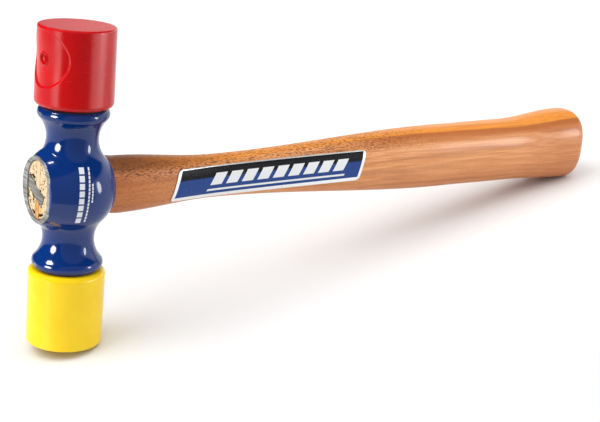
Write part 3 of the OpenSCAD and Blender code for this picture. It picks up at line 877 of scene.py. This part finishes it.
def handle_finish():
    sheet = Finish("lacquered_hickory")
    mm = sheet.tool_mm()
    x, _, z = sheet.split(mm)
    year = wood_rings(sheet, mm, PITH, RING_WIDTH)
    late = sheet.ease(year, 0.45, 0.93) * sheet.ease(year, 1.0, 0.95)
    fibre = sheet.noise(sheet.stretch(mm, 0.03, 1.5, 1.5), 1, 5, 0.6)
    streak = sheet.noise(sheet.stretch(mm, 0.008, 0.33, 0.33), 1, 3)
    above = above_crown(sheet, x, z, streak)
    far = sheet.ease(x, *CRISP_EDGE)
    crown = sheet.ease(above, -1.2, 1.2) * (1 - far) + sheet.ease(above, -0.4, 0.4) * far
    ridge = sheet.ease(above, -5.6, -0.6) * sheet.ease(above, 0.5, 0.0) * far
    # Darker near the head: a dark stain together with painted shade from the head
    stain = sheet.ease(x + (streak - 0.5) * 24, 84, 14)
    dots = sheet.ease(sheet.noise(sheet.stretch(mm, 0.6, 2.5, 2.5), 1, 2), 0.50, 0.60)
    open_grain = sheet.ease(sheet.math("ABSOLUTE", above + 0.5), 7, 1) * sheet.ease(x, 205, 140)
    pores = dots * sheet.math("MAXIMUM", open_grain * 0.85, stain * (0.25 + crown * 0.4)) + dots * 0.08
    wood = sheet.mix(sheet.ease(fibre, 0.30, 0.70), RICH_WOOD, PALE_WOOD)
    wood = sheet.mix(sheet.ease(streak, 0.48, 0.68) * 0.6, wood, ROSE_WOOD)
    wood = sheet.mix(late * 0.22, wood, LATE_WOOD_AND_SHADE)
    # Painted shade: the wood darkens towards the underside
    wood = sheet.mix(sheet.ease(z, -2, -13) * 0.4, wood, LATE_WOOD_AND_SHADE)
    # Painted shade: the butt is darkened
    wood = sheet.mix(sheet.ease(x, *PAINTED_BUTT_SHADE) * 0.38, wood, LATE_WOOD_AND_SHADE)
    wood = sheet.mix(crown * 0.85, wood, AMBER_WOOD)
    wood = sheet.mix(crown * sheet.ease(fibre, 0.45, 0.68) * 0.5, wood, LATE_WOOD_AND_SHADE)
    # The stain near the head, with its painted shade, darkest on the crown
    wood = sheet.mix(stain * 0.7, wood, LATE_WOOD_AND_SHADE)
    wood = sheet.mix(stain * crown * 0.75, wood, STAIN_AND_SHADE_WOOD)
    wood = sheet.mix(ridge * 0.85, wood, LATE_WOOD_AND_SHADE)
    wood = sheet.mix(pores * 0.8, wood, PORE_WOOD)
    return sheet.surface({
        "Base Color": wood,
        "Roughness": 0.40 + pores * 0.2,
        "Normal": sheet.bump(fibre * 0.35 + late * 0.1 - pores * 0.5, 0.05),
        "Specular IOR Level": 0.3,
        "Coat Weight": 0.2 - pores * 0.15,
        "Coat Roughness": 0.14,
    })


HANDLE_WOOD = handle_finish()
print("wood:", HANDLE_WOOD.name)

# %% [markdown]
# The handle's shape follows one rule along its length: at six places its half height, half width
# and middle are given, and it eases from each to the next. A recipe sums those eased steps for the
# rows of a grid and wraps the columns around a squared oval. The butt ends in a dome of the same
# squareness, and the rows at both ends shrink to a point and are welded shut.

# %% Shape of the handle
# Places along the handle: distance from the head, half height, half width and height of the middle
HANDLE_PLACES = {
    "Shoulder": (14.5, 12.0, 9.15, 0.0),
    "Swell": (20.0, 11.9, 9.3, -0.5),
    "Waist": (66.0, 9.3, 7.25, -0.5),
    "Grip": (196.0, 14.9, 11.6, -0.5),
    "Grip end": (238.0, 15.25, 11.95, -0.5),
    "Butt": (281.0, 17.75, 13.85, 0.5),
}
MEASURES = ("distance", "half height", "half width", "middle")
DOME_LENGTH = 8.0
SQUARENESS = 2.6
HANDLE_COLUMNS = 168
BODY_ROWS = 180
DOME_ROWS = 26
HANDLE_SIZES = {
    f"{name} {measure}": value
    for name, values in HANDLE_PLACES.items()
    for measure, value in zip(MEASURES, values)
}
HANDLE_SIZES["Dome length"] = DOME_LENGTH
HANDLE_SIZES["Squareness"] = SQUARENESS


def eased_sum(sheet, x, measure):
    """A measure of the handle at x: its first value and each eased step to the next place."""
    names = list(HANDLE_PLACES)
    size = sheet.size
    total = size[f"{names[0]} {measure}"]
    for here, there in zip(names, names[1:]):
        sockets = {"Value": x, "From Min": size[f"{here} distance"], "From Max": size[f"{there} distance"]}
        share = sheet.node("ShaderNodeMapRange", {"interpolation_type": "SMOOTHSTEP"}, sockets)
        total = total + share * (size[f"{there} {measure}"] - size[f"{here} {measure}"])
    return total


def squared(sheet, operation, angle, power):
    """Sine or cosine with its roundness squared off."""
    value = sheet.math(operation, angle)
    return sheet.math("SIGN", value) * sheet.math("ABSOLUTE", value) ** power


def handle_recipe(material):
    sheet = Recipe("handle_loft", HANDLE_SIZES)
    size = sheet.size
    mesh, share, row = sheet.grid(HANDLE_COLUMNS, BODY_ROWS + DOME_ROWS + 1)
    power = 2 / size["Squareness"]
    dome = sheet.ramp(row, BODY_ROWS, BODY_ROWS + DOME_ROWS) * (math.pi / 2)
    length = size["Butt distance"] - size["Shoulder distance"]
    body_x = size["Shoulder distance"] + sheet.ramp(row, 1, BODY_ROWS) * length
    x = body_x + size["Dome length"] * sheet.math("ABSOLUTE", sheet.math("SINE", dome)) ** power
    shrink = sheet.math("MAXIMUM", sheet.math("COSINE", dome), 0.0) ** power
    shrink = shrink * sheet.past(row, 0.5) * (1 - sheet.past(row, BODY_ROWS + DOME_ROWS - 0.5))
    turn = share * (2 * math.pi)
    height = eased_sum(sheet, body_x, "half height") * shrink
    width = eased_sum(sheet, body_x, "half width") * shrink
    y = width * squared(sheet, "COSINE", turn, power)
    z = height * squared(sheet, "SINE", turn, power) + eased_sum(sheet, body_x, "middle")
    sheet.wrap(mesh, sheet.join(x, y, z), material)
    return sheet


# %% [markdown]
# The handle's tenon fills the eye, and its sawn end shows there: pale end grain with ring lines,
# split where the wedges were driven. It is a dense patch whose square grid is bent into the eye's
# outline. Slots for the two wedges and a few cracks are pressed into it as real depth, and the
# same depth is kept as an attribute, so that the finish can paint shade into what lies deep.

# %% End grain of the tenon
END_GRAIN = (0.62, 0.48, 0.30)
END_GRAIN_DARK = (0.46, 0.25, 0.10)
END_GRAIN_STAIN = (0.72, 0.36, 0.13)
SAWN_PALE = (0.72, 0.55, 0.33)
# Painted shade in the cracks, slots and worn edge of the end grain
PAINTED_CRACK_SHADE = (0.020, 0.012, 0.008)
# Middle of the rings in the end grain and their width, and the middle of its stain
TENON_PITH = (10, -16)
TENON_RING_WIDTH = 2.3
STAIN_MIDDLE = (-1.0, -7.4)


def end_grain_finish():
    sheet = Finish("sawn_end_grain")
    mm = sheet.tool_mm()
    _, y, z = sheet.split(mm)
    year = wood_rings(sheet, mm, TENON_PITH, TENON_RING_WIDTH)
    late = sheet.ease(year, 0.4, 0.9) * sheet.ease(year, 1.0, 0.93)
    dots = sheet.ease(sheet.cells(sheet.stretch(mm, 0.15, 1, 1), 0.85), 0.44, 0.28)
    dots = dots * sheet.ease(sheet.noise(mm, 0.8, 2), 0.42, 0.50)
    saw = sheet.noise(sheet.stretch(mm, 1, 0.10, 2.6), 1, 3)
    blot = sheet.noise(mm, 0.35, 3)
    low = sheet.math("SQRT", (y - STAIN_MIDDLE[0]) ** 2 + (z - STAIN_MIDDLE[1]) ** 2)
    stain = sheet.ease(low + (blot - 0.5) * 4, 4.2, 2.2)
    depth = sheet.node("ShaderNodeAttribute", {"attribute_name": "depth"}).out("Fac")
    wood = sheet.mix(late * 0.35, END_GRAIN, END_GRAIN_DARK)
    wood = sheet.mix(stain * 0.8, wood, END_GRAIN_STAIN)
    wood = sheet.mix(dots * 0.8, wood, PORE_WOOD)
    wood = sheet.mix(sheet.ease(saw, 0.55, 0.75) * 0.35, wood, SAWN_PALE)
    # Painted shade: what lies deep is darkened
    wood = sheet.mix(sheet.ease(depth, 0.10, 0.45), wood, PAINTED_CRACK_SHADE)
    return sheet.surface({
        "Base Color": wood,
        "Roughness": 0.62 + saw * 0.2,
        "Normal": sheet.bump(saw * 0.5 - dots * 0.5, 0.10),
        "Specular IOR Level": 0.25,
    })


END_GRAIN_WOOD = end_grain_finish()
print("end grain:", END_GRAIN_WOOD.name)

# %% Shape of the tenon
EYE_GAP = 0.1
TENON_INSET = 0.5
TENON_START = TENON_INSET - EYE_FACE_X
TENON_ROOT = 17.0
TENON_CELLS = 130
STEEL_WEDGE_T = 5.0
STEEL_WEDGE_LENGTH = 15.0
STEEL_WEDGE_MIDDLE = (2.2, -0.9)
STEEL_WEDGE_TURN = math.radians(24)
STEEL_WEDGE_MARGIN = 0.5
WOOD_WEDGE_T = 3.0
SLOT_DEPTH = 1.6
# Depth to which the tenon's edge is worn, and the share of its reach where that starts
EDGE_WEAR = 0.25
WEAR_START = 0.955
# How far the wood beside the steel wedge is torn out at most
TORN_WIDTH = 0.45
# Cracks in the end grain as two ends, across and up, then half width and depth
CRACKS = [
    ((4.5, 4.7), (3.6, 4.2), 0.90, 1.6),
    ((7.0, 4.4), (4.7, 4.8), 0.45, 1.0),
    ((1.2, 3.4), (0.0, 1.4), 0.60, 1.4),
    ((8.5, -2.2), (8.3, -4.8), 0.70, 1.5),
    ((4.0, -2.9), (3.6, -5.8), 0.70, 1.4),
    ((6.6, -6.2), (6.2, -7.4), 0.40, 1.0),
    ((3.9, -9.8), (0.6, -10.8), 0.75, 1.8),
    ((0.6, -10.8), (-4.6, -9.4), 0.70, 1.8),
    ((5.0, 8.8), (3.4, 6.9), 0.22, 0.7),
]


def segment_distance(p, a, b):
    """Distance from a point to the straight line between two others."""
    ab = Vector(b) - Vector(a)
    share = max(0.0, min(1.0, (Vector(p) - Vector(a)).dot(ab) / ab.length_squared))
    return (Vector(p) - Vector(a) - ab * share).length


def wedge_slot(p):
    """How far a point of the end lies outside the steel wedge, which stops short of the eye's wall."""
    c, s = math.cos(STEEL_WEDGE_TURN), math.sin(STEEL_WEDGE_TURN)
    y, z = p[0] - STEEL_WEDGE_MIDDLE[0], p[1] - STEEL_WEDGE_MIDDLE[1]
    wall = stadium(math.atan2(p[1], p[0]), eye_flare(TENON_START) - EYE_GAP - STEEL_WEDGE_MARGIN)
    ends = abs(y * c + z * s) - STEEL_WEDGE_LENGTH / 2
    sides = abs(z * c - y * s) - STEEL_WEDGE_T / 2
    return max(ends, sides, math.hypot(*p) - math.hypot(*wall))


def ragged(p):
    """A point moved a little to and fro, which makes a straight crack ragged."""
    y, z = p
    return y + 0.22 * math.sin(4.1 * z + 1) + 0.12 * math.sin(7.3 * z), z + 0.22 * math.sin(3.7 * y + 2)


def tenon_depth(p):
    """How far a point of the end lies below the sawn plane."""
    torn = TORN_WIDTH * max(0.0, math.sin(1.3 * p[1] + 0.7 * p[0] + 2.2)) * (1 + math.sin(5.3 * p[1])) / 2
    slot = SLOT_DEPTH * (1 - smooth(wedge_slot(ragged(p)), 0.12 + torn, 0.42 + torn))
    kerf = SLOT_DEPTH * (1 - smooth(abs(p[0]) - WOOD_WEDGE_T / 2, 0.05, 0.25))
    cracks = [d * (1 - smooth(segment_distance(ragged(p), a, b), w * 0.5, w)) for a, b, w, d in CRACKS]
    return max(slot, kerf, *cracks)


def tenon_point(p, q):
    """Point of the unit square bent into a disc and then into the eye's outline, and its reach."""
    across, up = p * math.sqrt(1 - q * q / 2), q * math.sqrt(1 - p * p / 2)
    turn = math.atan2(up, across)
    reach = math.hypot(across, up)
    edge = stadium(turn, eye_flare(TENON_START) - EYE_GAP)
    return (edge[0] * reach, edge[1] * reach), reach


def add_tenon(bm):
    """Adds the tenon to the handle: its end patch, its sides and its closed root."""
    layer = bm.verts.layers.float.new("depth")
    grid = []
    for i in range(TENON_CELLS + 1):
        row = []
        for j in range(TENON_CELLS + 1):
            spot, reach = tenon_point(2 * i / TENON_CELLS - 1, 2 * j / TENON_CELLS - 1)
            depth = tenon_depth(spot)
            worn = EDGE_WEAR * smooth(reach, WEAR_START, 1.0)
            vertex = bm.verts.new((TENON_START + depth + worn, *spot))
            # The depth also sets painted shade; the worn edge gets a little more
            vertex[layer] = depth + worn * 1.2
            row.append(vertex)
        grid.append(row)
    for i in range(TENON_CELLS):
        for j in range(TENON_CELLS):
            cell = (grid[i][j], grid[i + 1][j], grid[i + 1][j + 1], grid[i][j + 1])
            bm.faces.new(cell).material_index = 1
    last = TENON_CELLS
    edge = [grid[k][0] for k in range(last)] + [grid[last][k] for k in range(last)]
    edge += [grid[last - k][last] for k in range(last)] + [grid[0][last - k] for k in range(last)]
    turns = [math.atan2(vertex.co.z, vertex.co.y) for vertex in edge]
    ring = edge
    for x in (-9.0, 0.0, TENON_ROOT):
        flare = eye_flare(min(x, BACK_FACE_X)) - EYE_GAP
        ring = add_ring(bm, ring, [(x, *stadium(turn, flare)) for turn in turns])
        for vertex in ring:
            vertex[layer] = 0.0
    close_ring(bm, ring, (TENON_ROOT, 0, 0))


bm = handle_recipe(HANDLE_WOOD).run(HANDLE_SIZES)
add_tenon(bm)
handle = new_piece("hickory_handle", bm, [HANDLE_WOOD, END_GRAIN_WOOD], sharp=50)
dress(handle, "hammer", "handle_wood", "handle")

# %% [markdown]
# The wedges keep their engineering shape, which is right already, and only get finishes. The steel
# wedge was ground down together with the head's face, so the same lines cross it. The wooden wedge
# is a softer, redder wood seen end on. The washers between head and tips are black rubber.

# %% Finishes of the wedges and washers
def steel_wedge_finish():
    sheet = Finish("ground_wedge_steel")
    mm = sheet.tool_mm()
    lines = sheet.noise(sheet.stretch(mm, 1, 0.05, 2.1), 1, 4)
    rust = sheet.ease(sheet.noise(mm, 0.45, 3), 0.58, 0.74)
    steel = sheet.mix(sheet.ease(lines, 0.36, 0.64), (0.13, 0.124, 0.11), (0.45, 0.437, 0.40))
    return sheet.surface({
        "Base Color": sheet.mix(rust * 0.35, steel, (0.20, 0.12, 0.07)),
        "Metallic": 0.75 - rust * 0.3,
        "Roughness": 0.40 + lines * 0.2,
        "Normal": sheet.bump(lines, 0.08),
    })


def wooden_wedge_finish():
    sheet = Finish("wedge_softwood")
    mm = sheet.tool_mm()
    fibre = sheet.noise(sheet.stretch(mm, 0.1, 2.4, 0.5), 1, 4)
    blot = sheet.ease(sheet.noise(mm, 0.35, 3), 0.42, 0.66)
    _, _, z = sheet.split(mm)
    wood = sheet.mix(sheet.ease(fibre, 0.35, 0.65), (0.36, 0.15, 0.045), (0.66, 0.36, 0.13))
    wood = sheet.mix(blot * 0.5, wood, (0.20, 0.085, 0.03))
    return sheet.surface({
        "Base Color": sheet.mix(sheet.ease(z, -3.5, 0.5) * 0.85, wood, END_GRAIN),
        "Roughness": 0.6 + fibre * 0.2,
        "Normal": sheet.bump(fibre, 0.12),
        "Specular IOR Level": 0.25,
    })


def rubber_finish():
    sheet = Finish("black_washer_rubber")
    mm = sheet.tool_mm()
    bloom = sheet.noise(mm, 1.4, 3)
    return sheet.surface({
        "Base Color": sheet.mix(bloom, (0.012, 0.012, 0.013), (0.03, 0.03, 0.03)),
        "Roughness": 0.6 + bloom * 0.2,
        "Normal": sheet.bump(bloom, 0.05),
    })


RUBBER = rubber_finish()
NODE_FINISHES = {
    "steel_wedge": steel_wedge_finish(),
    "wooden_wedge": wooden_wedge_finish(),
    "red_tip_washer": RUBBER,
    "yellow_tip_washer": RUBBER,
}
for name, material in NODE_FINISHES.items():
    for slot in frame["nodes"][name].material_slots:
        slot.material = material
print("dressed nodes:", sorted(NODE_FINISHES))

# %% [markdown]
# The label is a thin printed film with slanted ends and rounded corners, wrapped onto the side of
# the handle. It carries its own map in millimetres along and across, so the print follows it: a
# silver foil edge, black above royal blue, and a row of plain slanted white blocks over a thin
# line.

# %% Print of the label
LABEL_LENGTH = 98.5
LABEL_HEIGHT = 13.9
LABEL_LEAN = 3.8
# Width of the foil edge at the ends, the bottom and the top
FOIL_EDGES = (1.5, 1.6, 0.4)
ROYAL_BLUE = (0.022, 0.062, 0.240)
LABEL_BLACK = (0.004, 0.004, 0.006)
LABEL_WHITE = (0.86, 0.87, 0.88)
FOIL = (0.80, 0.82, 0.83)
# Blocks in the label's middle: first and last place along it, pitch, half height, height of the row
BLOCKS = (-31.0, 41.0, 8.0, 2.6, 1.3)
BLOCK_SLANT = 0.32
BLOCK_WIDTH = 0.72
# Place across the label and half width of the thin line, and where blue gives way to black
LINE_PLACE = -3.5
LINE_HALF = 0.45
BLACK_FROM = (1.6, 2.6)


def label_finish():
    sheet = Finish("printed_label_film")
    u, v, _ = sheet.split(sheet.node("ShaderNodeUVMap", {"uv_map": "print_mm"}))
    mm = sheet.tool_mm()
    end = LABEL_LENGTH / 2 - FOIL_EDGES[0] - sheet.math("ABSOLUTE", u)
    bottom = v + (LABEL_HEIGHT / 2 - FOIL_EDGES[1])
    top = LABEL_HEIGHT / 2 - FOIL_EDGES[2] - v
    inside = sheet.math("MINIMUM", end, sheet.math("MINIMUM", bottom, top))
    foil = sheet.ease(inside, 0.06, -0.06)
    start, stop, pitch, half, middle = BLOCKS
    slanted = u - v * BLOCK_SLANT
    cell = sheet.math("FRACT", (slanted - start) / pitch)
    row = sheet.ease(sheet.math("ABSOLUTE", v - middle), half + 0.06, half - 0.06)
    span = sheet.ease(slanted, start, start + 0.1) * sheet.ease(slanted, stop, stop - 0.1)
    blocks = sheet.ease(cell, BLOCK_WIDTH + 0.01, BLOCK_WIDTH - 0.01) * row * span
    line = sheet.ease(sheet.math("ABSOLUTE", v - LINE_PLACE), LINE_HALF + 0.05, LINE_HALF - 0.05) * span
    rub = sheet.noise(mm, 1.1, 4)
    wrinkle = sheet.noise(sheet.stretch(mm, 0.12, 0.5, 0.5), 1, 2)
    ground = sheet.mix(sheet.ease(v, *BLACK_FROM), ROYAL_BLUE, LABEL_BLACK)
    ground = sheet.mix(sheet.ease(rub, 0.62, 0.8) * 0.12, ground, LABEL_WHITE)
    printed = sheet.mix(sheet.math("MAXIMUM", blocks, line) * (0.97 - rub * 0.1), ground, LABEL_WHITE)
    return sheet.surface({
        "Base Color": sheet.mix(foil, printed, FOIL),
        "Metallic": foil * 0.8,
        "Roughness": 0.24 + rub * 0.10,
        "Normal": sheet.bump(wrinkle * 0.8 + foil * 0.2, 0.10),
        "Specular IOR Level": 0.15,
    })


LABEL_FILM = label_finish()
print("label print:", LABEL_FILM.name)

# %% Shape of the label
LABEL_X = 93.9
LABEL_Z = -0.3
LABEL_RISE = 2.6
LABEL_TURN = math.asin(LABEL_RISE / LABEL_LENGTH)
LABEL_ROUND = 2.0
LABEL_T = 0.3
LABEL_GAP = 0.08
LABEL_COLUMNS = 150
CORNER_ROWS = 8
MIDDLE_ROWS = 22


def handle_section(x):
    """Half height, half width and middle of the handle at a place along it."""
    places = list(HANDLE_PLACES.values())
    values = list(places[0][1:])
    for here, there in zip(places, places[1:]):
        share = smooth(x, here[0], there[0])
        values = [value + share * (b - a) for value, a, b in zip(values, here[1:], there[1:])]
    return values


def label_rows():
    """Rows across the label as height and how far the ends draw in at the rounded corners."""
    bends = [math.radians(90 * i / CORNER_ROWS) for i in range(CORNER_ROWS + 1)]
    flat = LABEL_HEIGHT / 2 - LABEL_ROUND
    corner = [(flat + LABEL_ROUND * math.cos(a), LABEL_ROUND * (1 - math.sin(a))) for a in bends]
    middle = [(flat * (2 * i / MIDDLE_ROWS - 1), 0.0) for i in range(1, MIDDLE_ROWS)]
    return [(-height, inset) for height, inset in corner] + middle + corner[::-1]


def label_point(along, height, inset, out):
    """A point of the label, lifted off the handle by out, and its place on the print."""
    u = along * (LABEL_LENGTH / 2 - inset)
    lean = u + LABEL_LEAN * height / LABEL_HEIGHT
    x = LABEL_X + lean * math.cos(LABEL_TURN) - height * math.sin(LABEL_TURN)
    z = LABEL_Z + lean * math.sin(LABEL_TURN) + height * math.cos(LABEL_TURN)
    tall, wide, middle = handle_section(x)
    share = (abs(z - middle) / (tall + out)) ** SQUARENESS
    return (x, -(wide + out) * (1 - share) ** (1 / SQUARENESS), z), (u, height)


def make_label():
    bm = bmesh.new()
    print_map = bm.loops.layers.uv.new("print_mm")
    spots = {}
    rows = label_rows()
    outer = [(height, inset, LABEL_GAP + LABEL_T) for height, inset in rows]
    loop = outer + [(height, inset, LABEL_GAP) for height, inset in reversed(rows)]
    ring = None
    for i in range(LABEL_COLUMNS + 1):
        made = [label_point(2 * i / LABEL_COLUMNS - 1, *spot) for spot in loop]
        points = [point for point, _ in made]
        ring = add_ring(bm, ring, points)
        spots.update({vertex: uv for vertex, (_, uv) in zip(ring, made)})
        if i in (0, LABEL_COLUMNS):
            half = len(loop) // 2
            for k in range(half - 1):
                bm.faces.new((ring[k], ring[k + 1], ring[-2 - k], ring[-1 - k]))
    for face in bm.faces:
        for corner in face.loops:
            corner[print_map].uv = spots[corner.vert]
    return new_piece("printed_label", bm, [LABEL_FILM], sharp=50)


label = make_label()
dress(label, "hammer", "label_film", "handle_label")

# %% [markdown]
# The studio is a white floor, a few softboxes and a pale room. Where the lamps stand is read from
# the glints on the paint: one above on the left, one on the left and a narrow one on the right in
# front. A lamp that makes a crisp glint would also draw a hard shadow, so small bright panels only
# show in the paint while wide dim ones give the light. Two screens only show in the plastic tips.

# %% Lamps
AIM = Vector((-0.06, 0.0, 0.06))
LAMP_DISTANCE = 2.6


def softbox(name, azimuth, elevation, wide, tall, radiance, shape="ELLIPSE"):
    """A soft lamp that faces the hammer, by where and how large it is seen from there, in degrees.
    Azimuth 0 is +Y and 90 is +X."""
    a, e = math.radians(azimuth), math.radians(elevation)
    width, height = (2 * LAMP_DISTANCE * math.tan(math.radians(angle / 2)) for angle in (wide, tall))
    way = Vector((math.sin(a) * math.cos(e), math.cos(a) * math.cos(e), math.sin(e)))
    data = bpy.data.lights.new(name, "AREA")
    data.shape = shape
    data.size = width
    data.size_y = height
    area = width * height * (math.pi / 4 if shape == "ELLIPSE" else 1)
    data.energy = math.pi * area * radiance
    lamp = bpy.data.objects.new(name, data)
    lamp.location = AIM + way * LAMP_DISTANCE
    lamp.rotation_euler = way.to_track_quat("Z", "Y").to_euler()
    lamp.visible_camera = False
    bpy.context.scene.collection.objects.link(lamp)
    print(name, "power:", round(data.energy, 2))
    return lamp


def group(name, pieces):
    """A named set of pieces, for lamps that light only those."""
    made = bpy.data.collections.new(name)
    for piece in pieces:
        made.objects.link(piece)
    return made


DRESSED = group("whole_hammer", [piece for piece in bpy.context.scene.objects if piece.type == "MESH"])
TIPS = group("plastic_tips", [red_tip, yellow_tip])
PAINTED = group("painted_steel", [head])
# Each lamp: azimuth, elevation, width and height in degrees, then radiance
PANELS = {"top_glint": (-72, 57, 18, 18, 32), "left_glint": (-92, 15, 24, 26, 28)}
SCREENS = {"left_screen": (-98, -6, 18, 40, 5), "right_screen": (112, -14, 100, 40, 3)}
for name, place in PANELS.items():
    panel = softbox(name, *place)
    panel.visible_diffuse = False
    panel.light_linking.receiver_collection = PAINTED
top_softbox = softbox("top_softbox", -72, 57, 48, 48, 2.8)
top_softbox.visible_glossy = False
left_softbox = softbox("left_softbox", -74, 14, 40, 30, 8.1)
left_softbox.visible_glossy = False
left_softbox.light_linking.receiver_collection = DRESSED
softbox("right_softbox", 131, -2, 12, 24, 14)
for name, place in SCREENS.items():
    screen = softbox(name, *place, shape="RECTANGLE")
    screen.visible_diffuse = False
    screen.light_linking.receiver_collection = TIPS
    screen.light_linking.blocker_collection = DRESSED

# %% Floor and room
FLOOR_SIZE = 8.0
# Where the white floor ends, towards the camera
FLOOR_FRONT = -0.15
FLOOR_WHITE = (0.82, 0.82, 0.82)
# Brightness of the room: soft fill from all around, the ceiling and the right, and what paint mirrors
ROOM_FILL = 0.25
ROOM_CEILING = 1.1
ROOM_RIGHT = 0.55
ROOM_DARK = 0.03
ROOM_WHITE = 1.3
ROOM_FRONT = 0.35
WHITE_SIDE = (1.0, 0.0, 0.0)
RIGHT_SIDE = (0.64, -0.77, 0.0)
FRONT_SIDE = (-0.05, -1.0, 0.0)


def seen_directly(sheet):
    """One for rays from the camera, a mirror or glass, and zero for light that bounces softly."""
    path = sheet.node("ShaderNodeLightPath", out="Is Camera Ray")
    mirrored = sheet.math("MAXIMUM", path.out("Is Glossy Ray"), path.out("Is Transmission Ray"))
    return sheet.math("MAXIMUM", path, mirrored)


def make_floor():
    sheet = Finish("white_studio_floor")
    sheet.surface({"Base Color": FLOOR_WHITE, "Roughness": 0.55, "Specular IOR Level": 0.2})
    bm = bmesh.new()
    bmesh.ops.create_grid(bm, x_segments=4, y_segments=4, size=FLOOR_SIZE)
    bmesh.ops.translate(bm, verts=bm.verts, vec=(0, FLOOR_SIZE + FLOOR_FRONT, 0))
    mesh = bpy.data.meshes.new("studio_floor")
    bm.to_mesh(mesh)
    bm.free()
    mesh.materials.append(sheet.material)
    floor = bpy.data.objects.new("studio_floor", mesh)
    bpy.context.scene.collection.objects.link(floor)
    floor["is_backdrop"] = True


def make_room():
    world = bpy.data.worlds.new("studio_room")
    world.use_nodes = True
    world.node_tree.nodes.clear()
    sheet = Sheet(world.node_tree)
    way = sheet.node("ShaderNodeTexCoord", out="Generated")
    _, _, up = sheet.split(way)

    def facing(side):
        return sheet.node("ShaderNodeVectorMath", {"operation": "DOT_PRODUCT"}, {0: way, 1: side}, "Value")

    white = sheet.ease(facing(WHITE_SIDE), 0.25, 0.75) * sheet.ease(up, 0.35, 0.2)
    front = sheet.ease(facing(FRONT_SIDE), 0.54, 0.60)
    room = sheet.math("MAXIMUM", white * ROOM_WHITE, front * ROOM_FRONT) + ROOM_DARK
    camera = sheet.node("ShaderNodeLightPath", out="Is Camera Ray")
    room = sheet.math("MAXIMUM", room * (1 - camera), camera)
    fill = sheet.ease(facing(RIGHT_SIDE), -0.2, 0.8) * ROOM_RIGHT + ROOM_FILL
    fill = sheet.ease(up, 0.3, 0.9) * ROOM_CEILING + fill * sheet.ease(up, -0.05, 0.35)
    seen = seen_directly(sheet)
    brightness = room * seen + fill * (1 - seen)
    shader = sheet.node("ShaderNodeBackground", sockets={"Color": brightness, "Strength": 1.0})
    sheet.node("ShaderNodeOutputWorld", sockets={"Surface": shader})
    bpy.context.scene.world = world


make_floor()
make_room()
bpy.context.scene.view_settings.view_transform = "Standard"
print("studio ready")

# %% [markdown]
# The camera stands where the photographer stood: a short tele lens, looking down over the eye face
# along the handle. Its turn is given the way a tripod head gives it, as yaw, pitch and roll.

# %% Camera
SENSOR_MM = 36.0
LENS_MM = 81.0
CAMERA_PLACE = Vector((-0.335813, -0.478587, 0.264075))
CAMERA_YAW = math.radians(33.597)
CAMERA_PITCH = math.radians(-22.544)
CAMERA_ROLL = math.radians(-3.588)


def make_camera():
    data = bpy.data.cameras.new("studio_camera")
    data.sensor_fit = "HORIZONTAL"
    data.sensor_width = SENSOR_MM
    data.lens = LENS_MM
    data.clip_start = 0.01
    ahead = Vector((
        math.sin(CAMERA_YAW) * math.cos(CAMERA_PITCH),
        math.cos(CAMERA_YAW) * math.cos(CAMERA_PITCH),
        math.sin(CAMERA_PITCH),
    ))
    level = Vector((math.cos(CAMERA_YAW), -math.sin(CAMERA_YAW), 0))
    right = level * math.cos(CAMERA_ROLL) + level.cross(ahead) * math.sin(CAMERA_ROLL)
    turn = Matrix((right, right.cross(ahead), -ahead)).transposed()
    camera = bpy.data.objects.new("studio_camera", data)
    camera.matrix_world = Matrix.Translation(CAMERA_PLACE) @ turn.to_4x4()
    bpy.context.scene.collection.objects.link(camera)
    bpy.context.scene.camera = camera
    return camera


camera = make_camera()
print("camera at", tuple(round(value, 3) for value in camera.location))

# %% [markdown]
# Last, the dressed hammer's box is printed next to the engineering model's box. The two have to
# agree, because the finish must not change the size of the tool.

# %% Size of the dressed hammer
boxes = {"cad": cad_box, "visual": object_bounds()}
{name: [list(corner) for corner in box] for name, box in boxes.items()}
print({name: [tuple(round(value, 4) for value in corner) for corner in box] for name, box in boxes.items()})
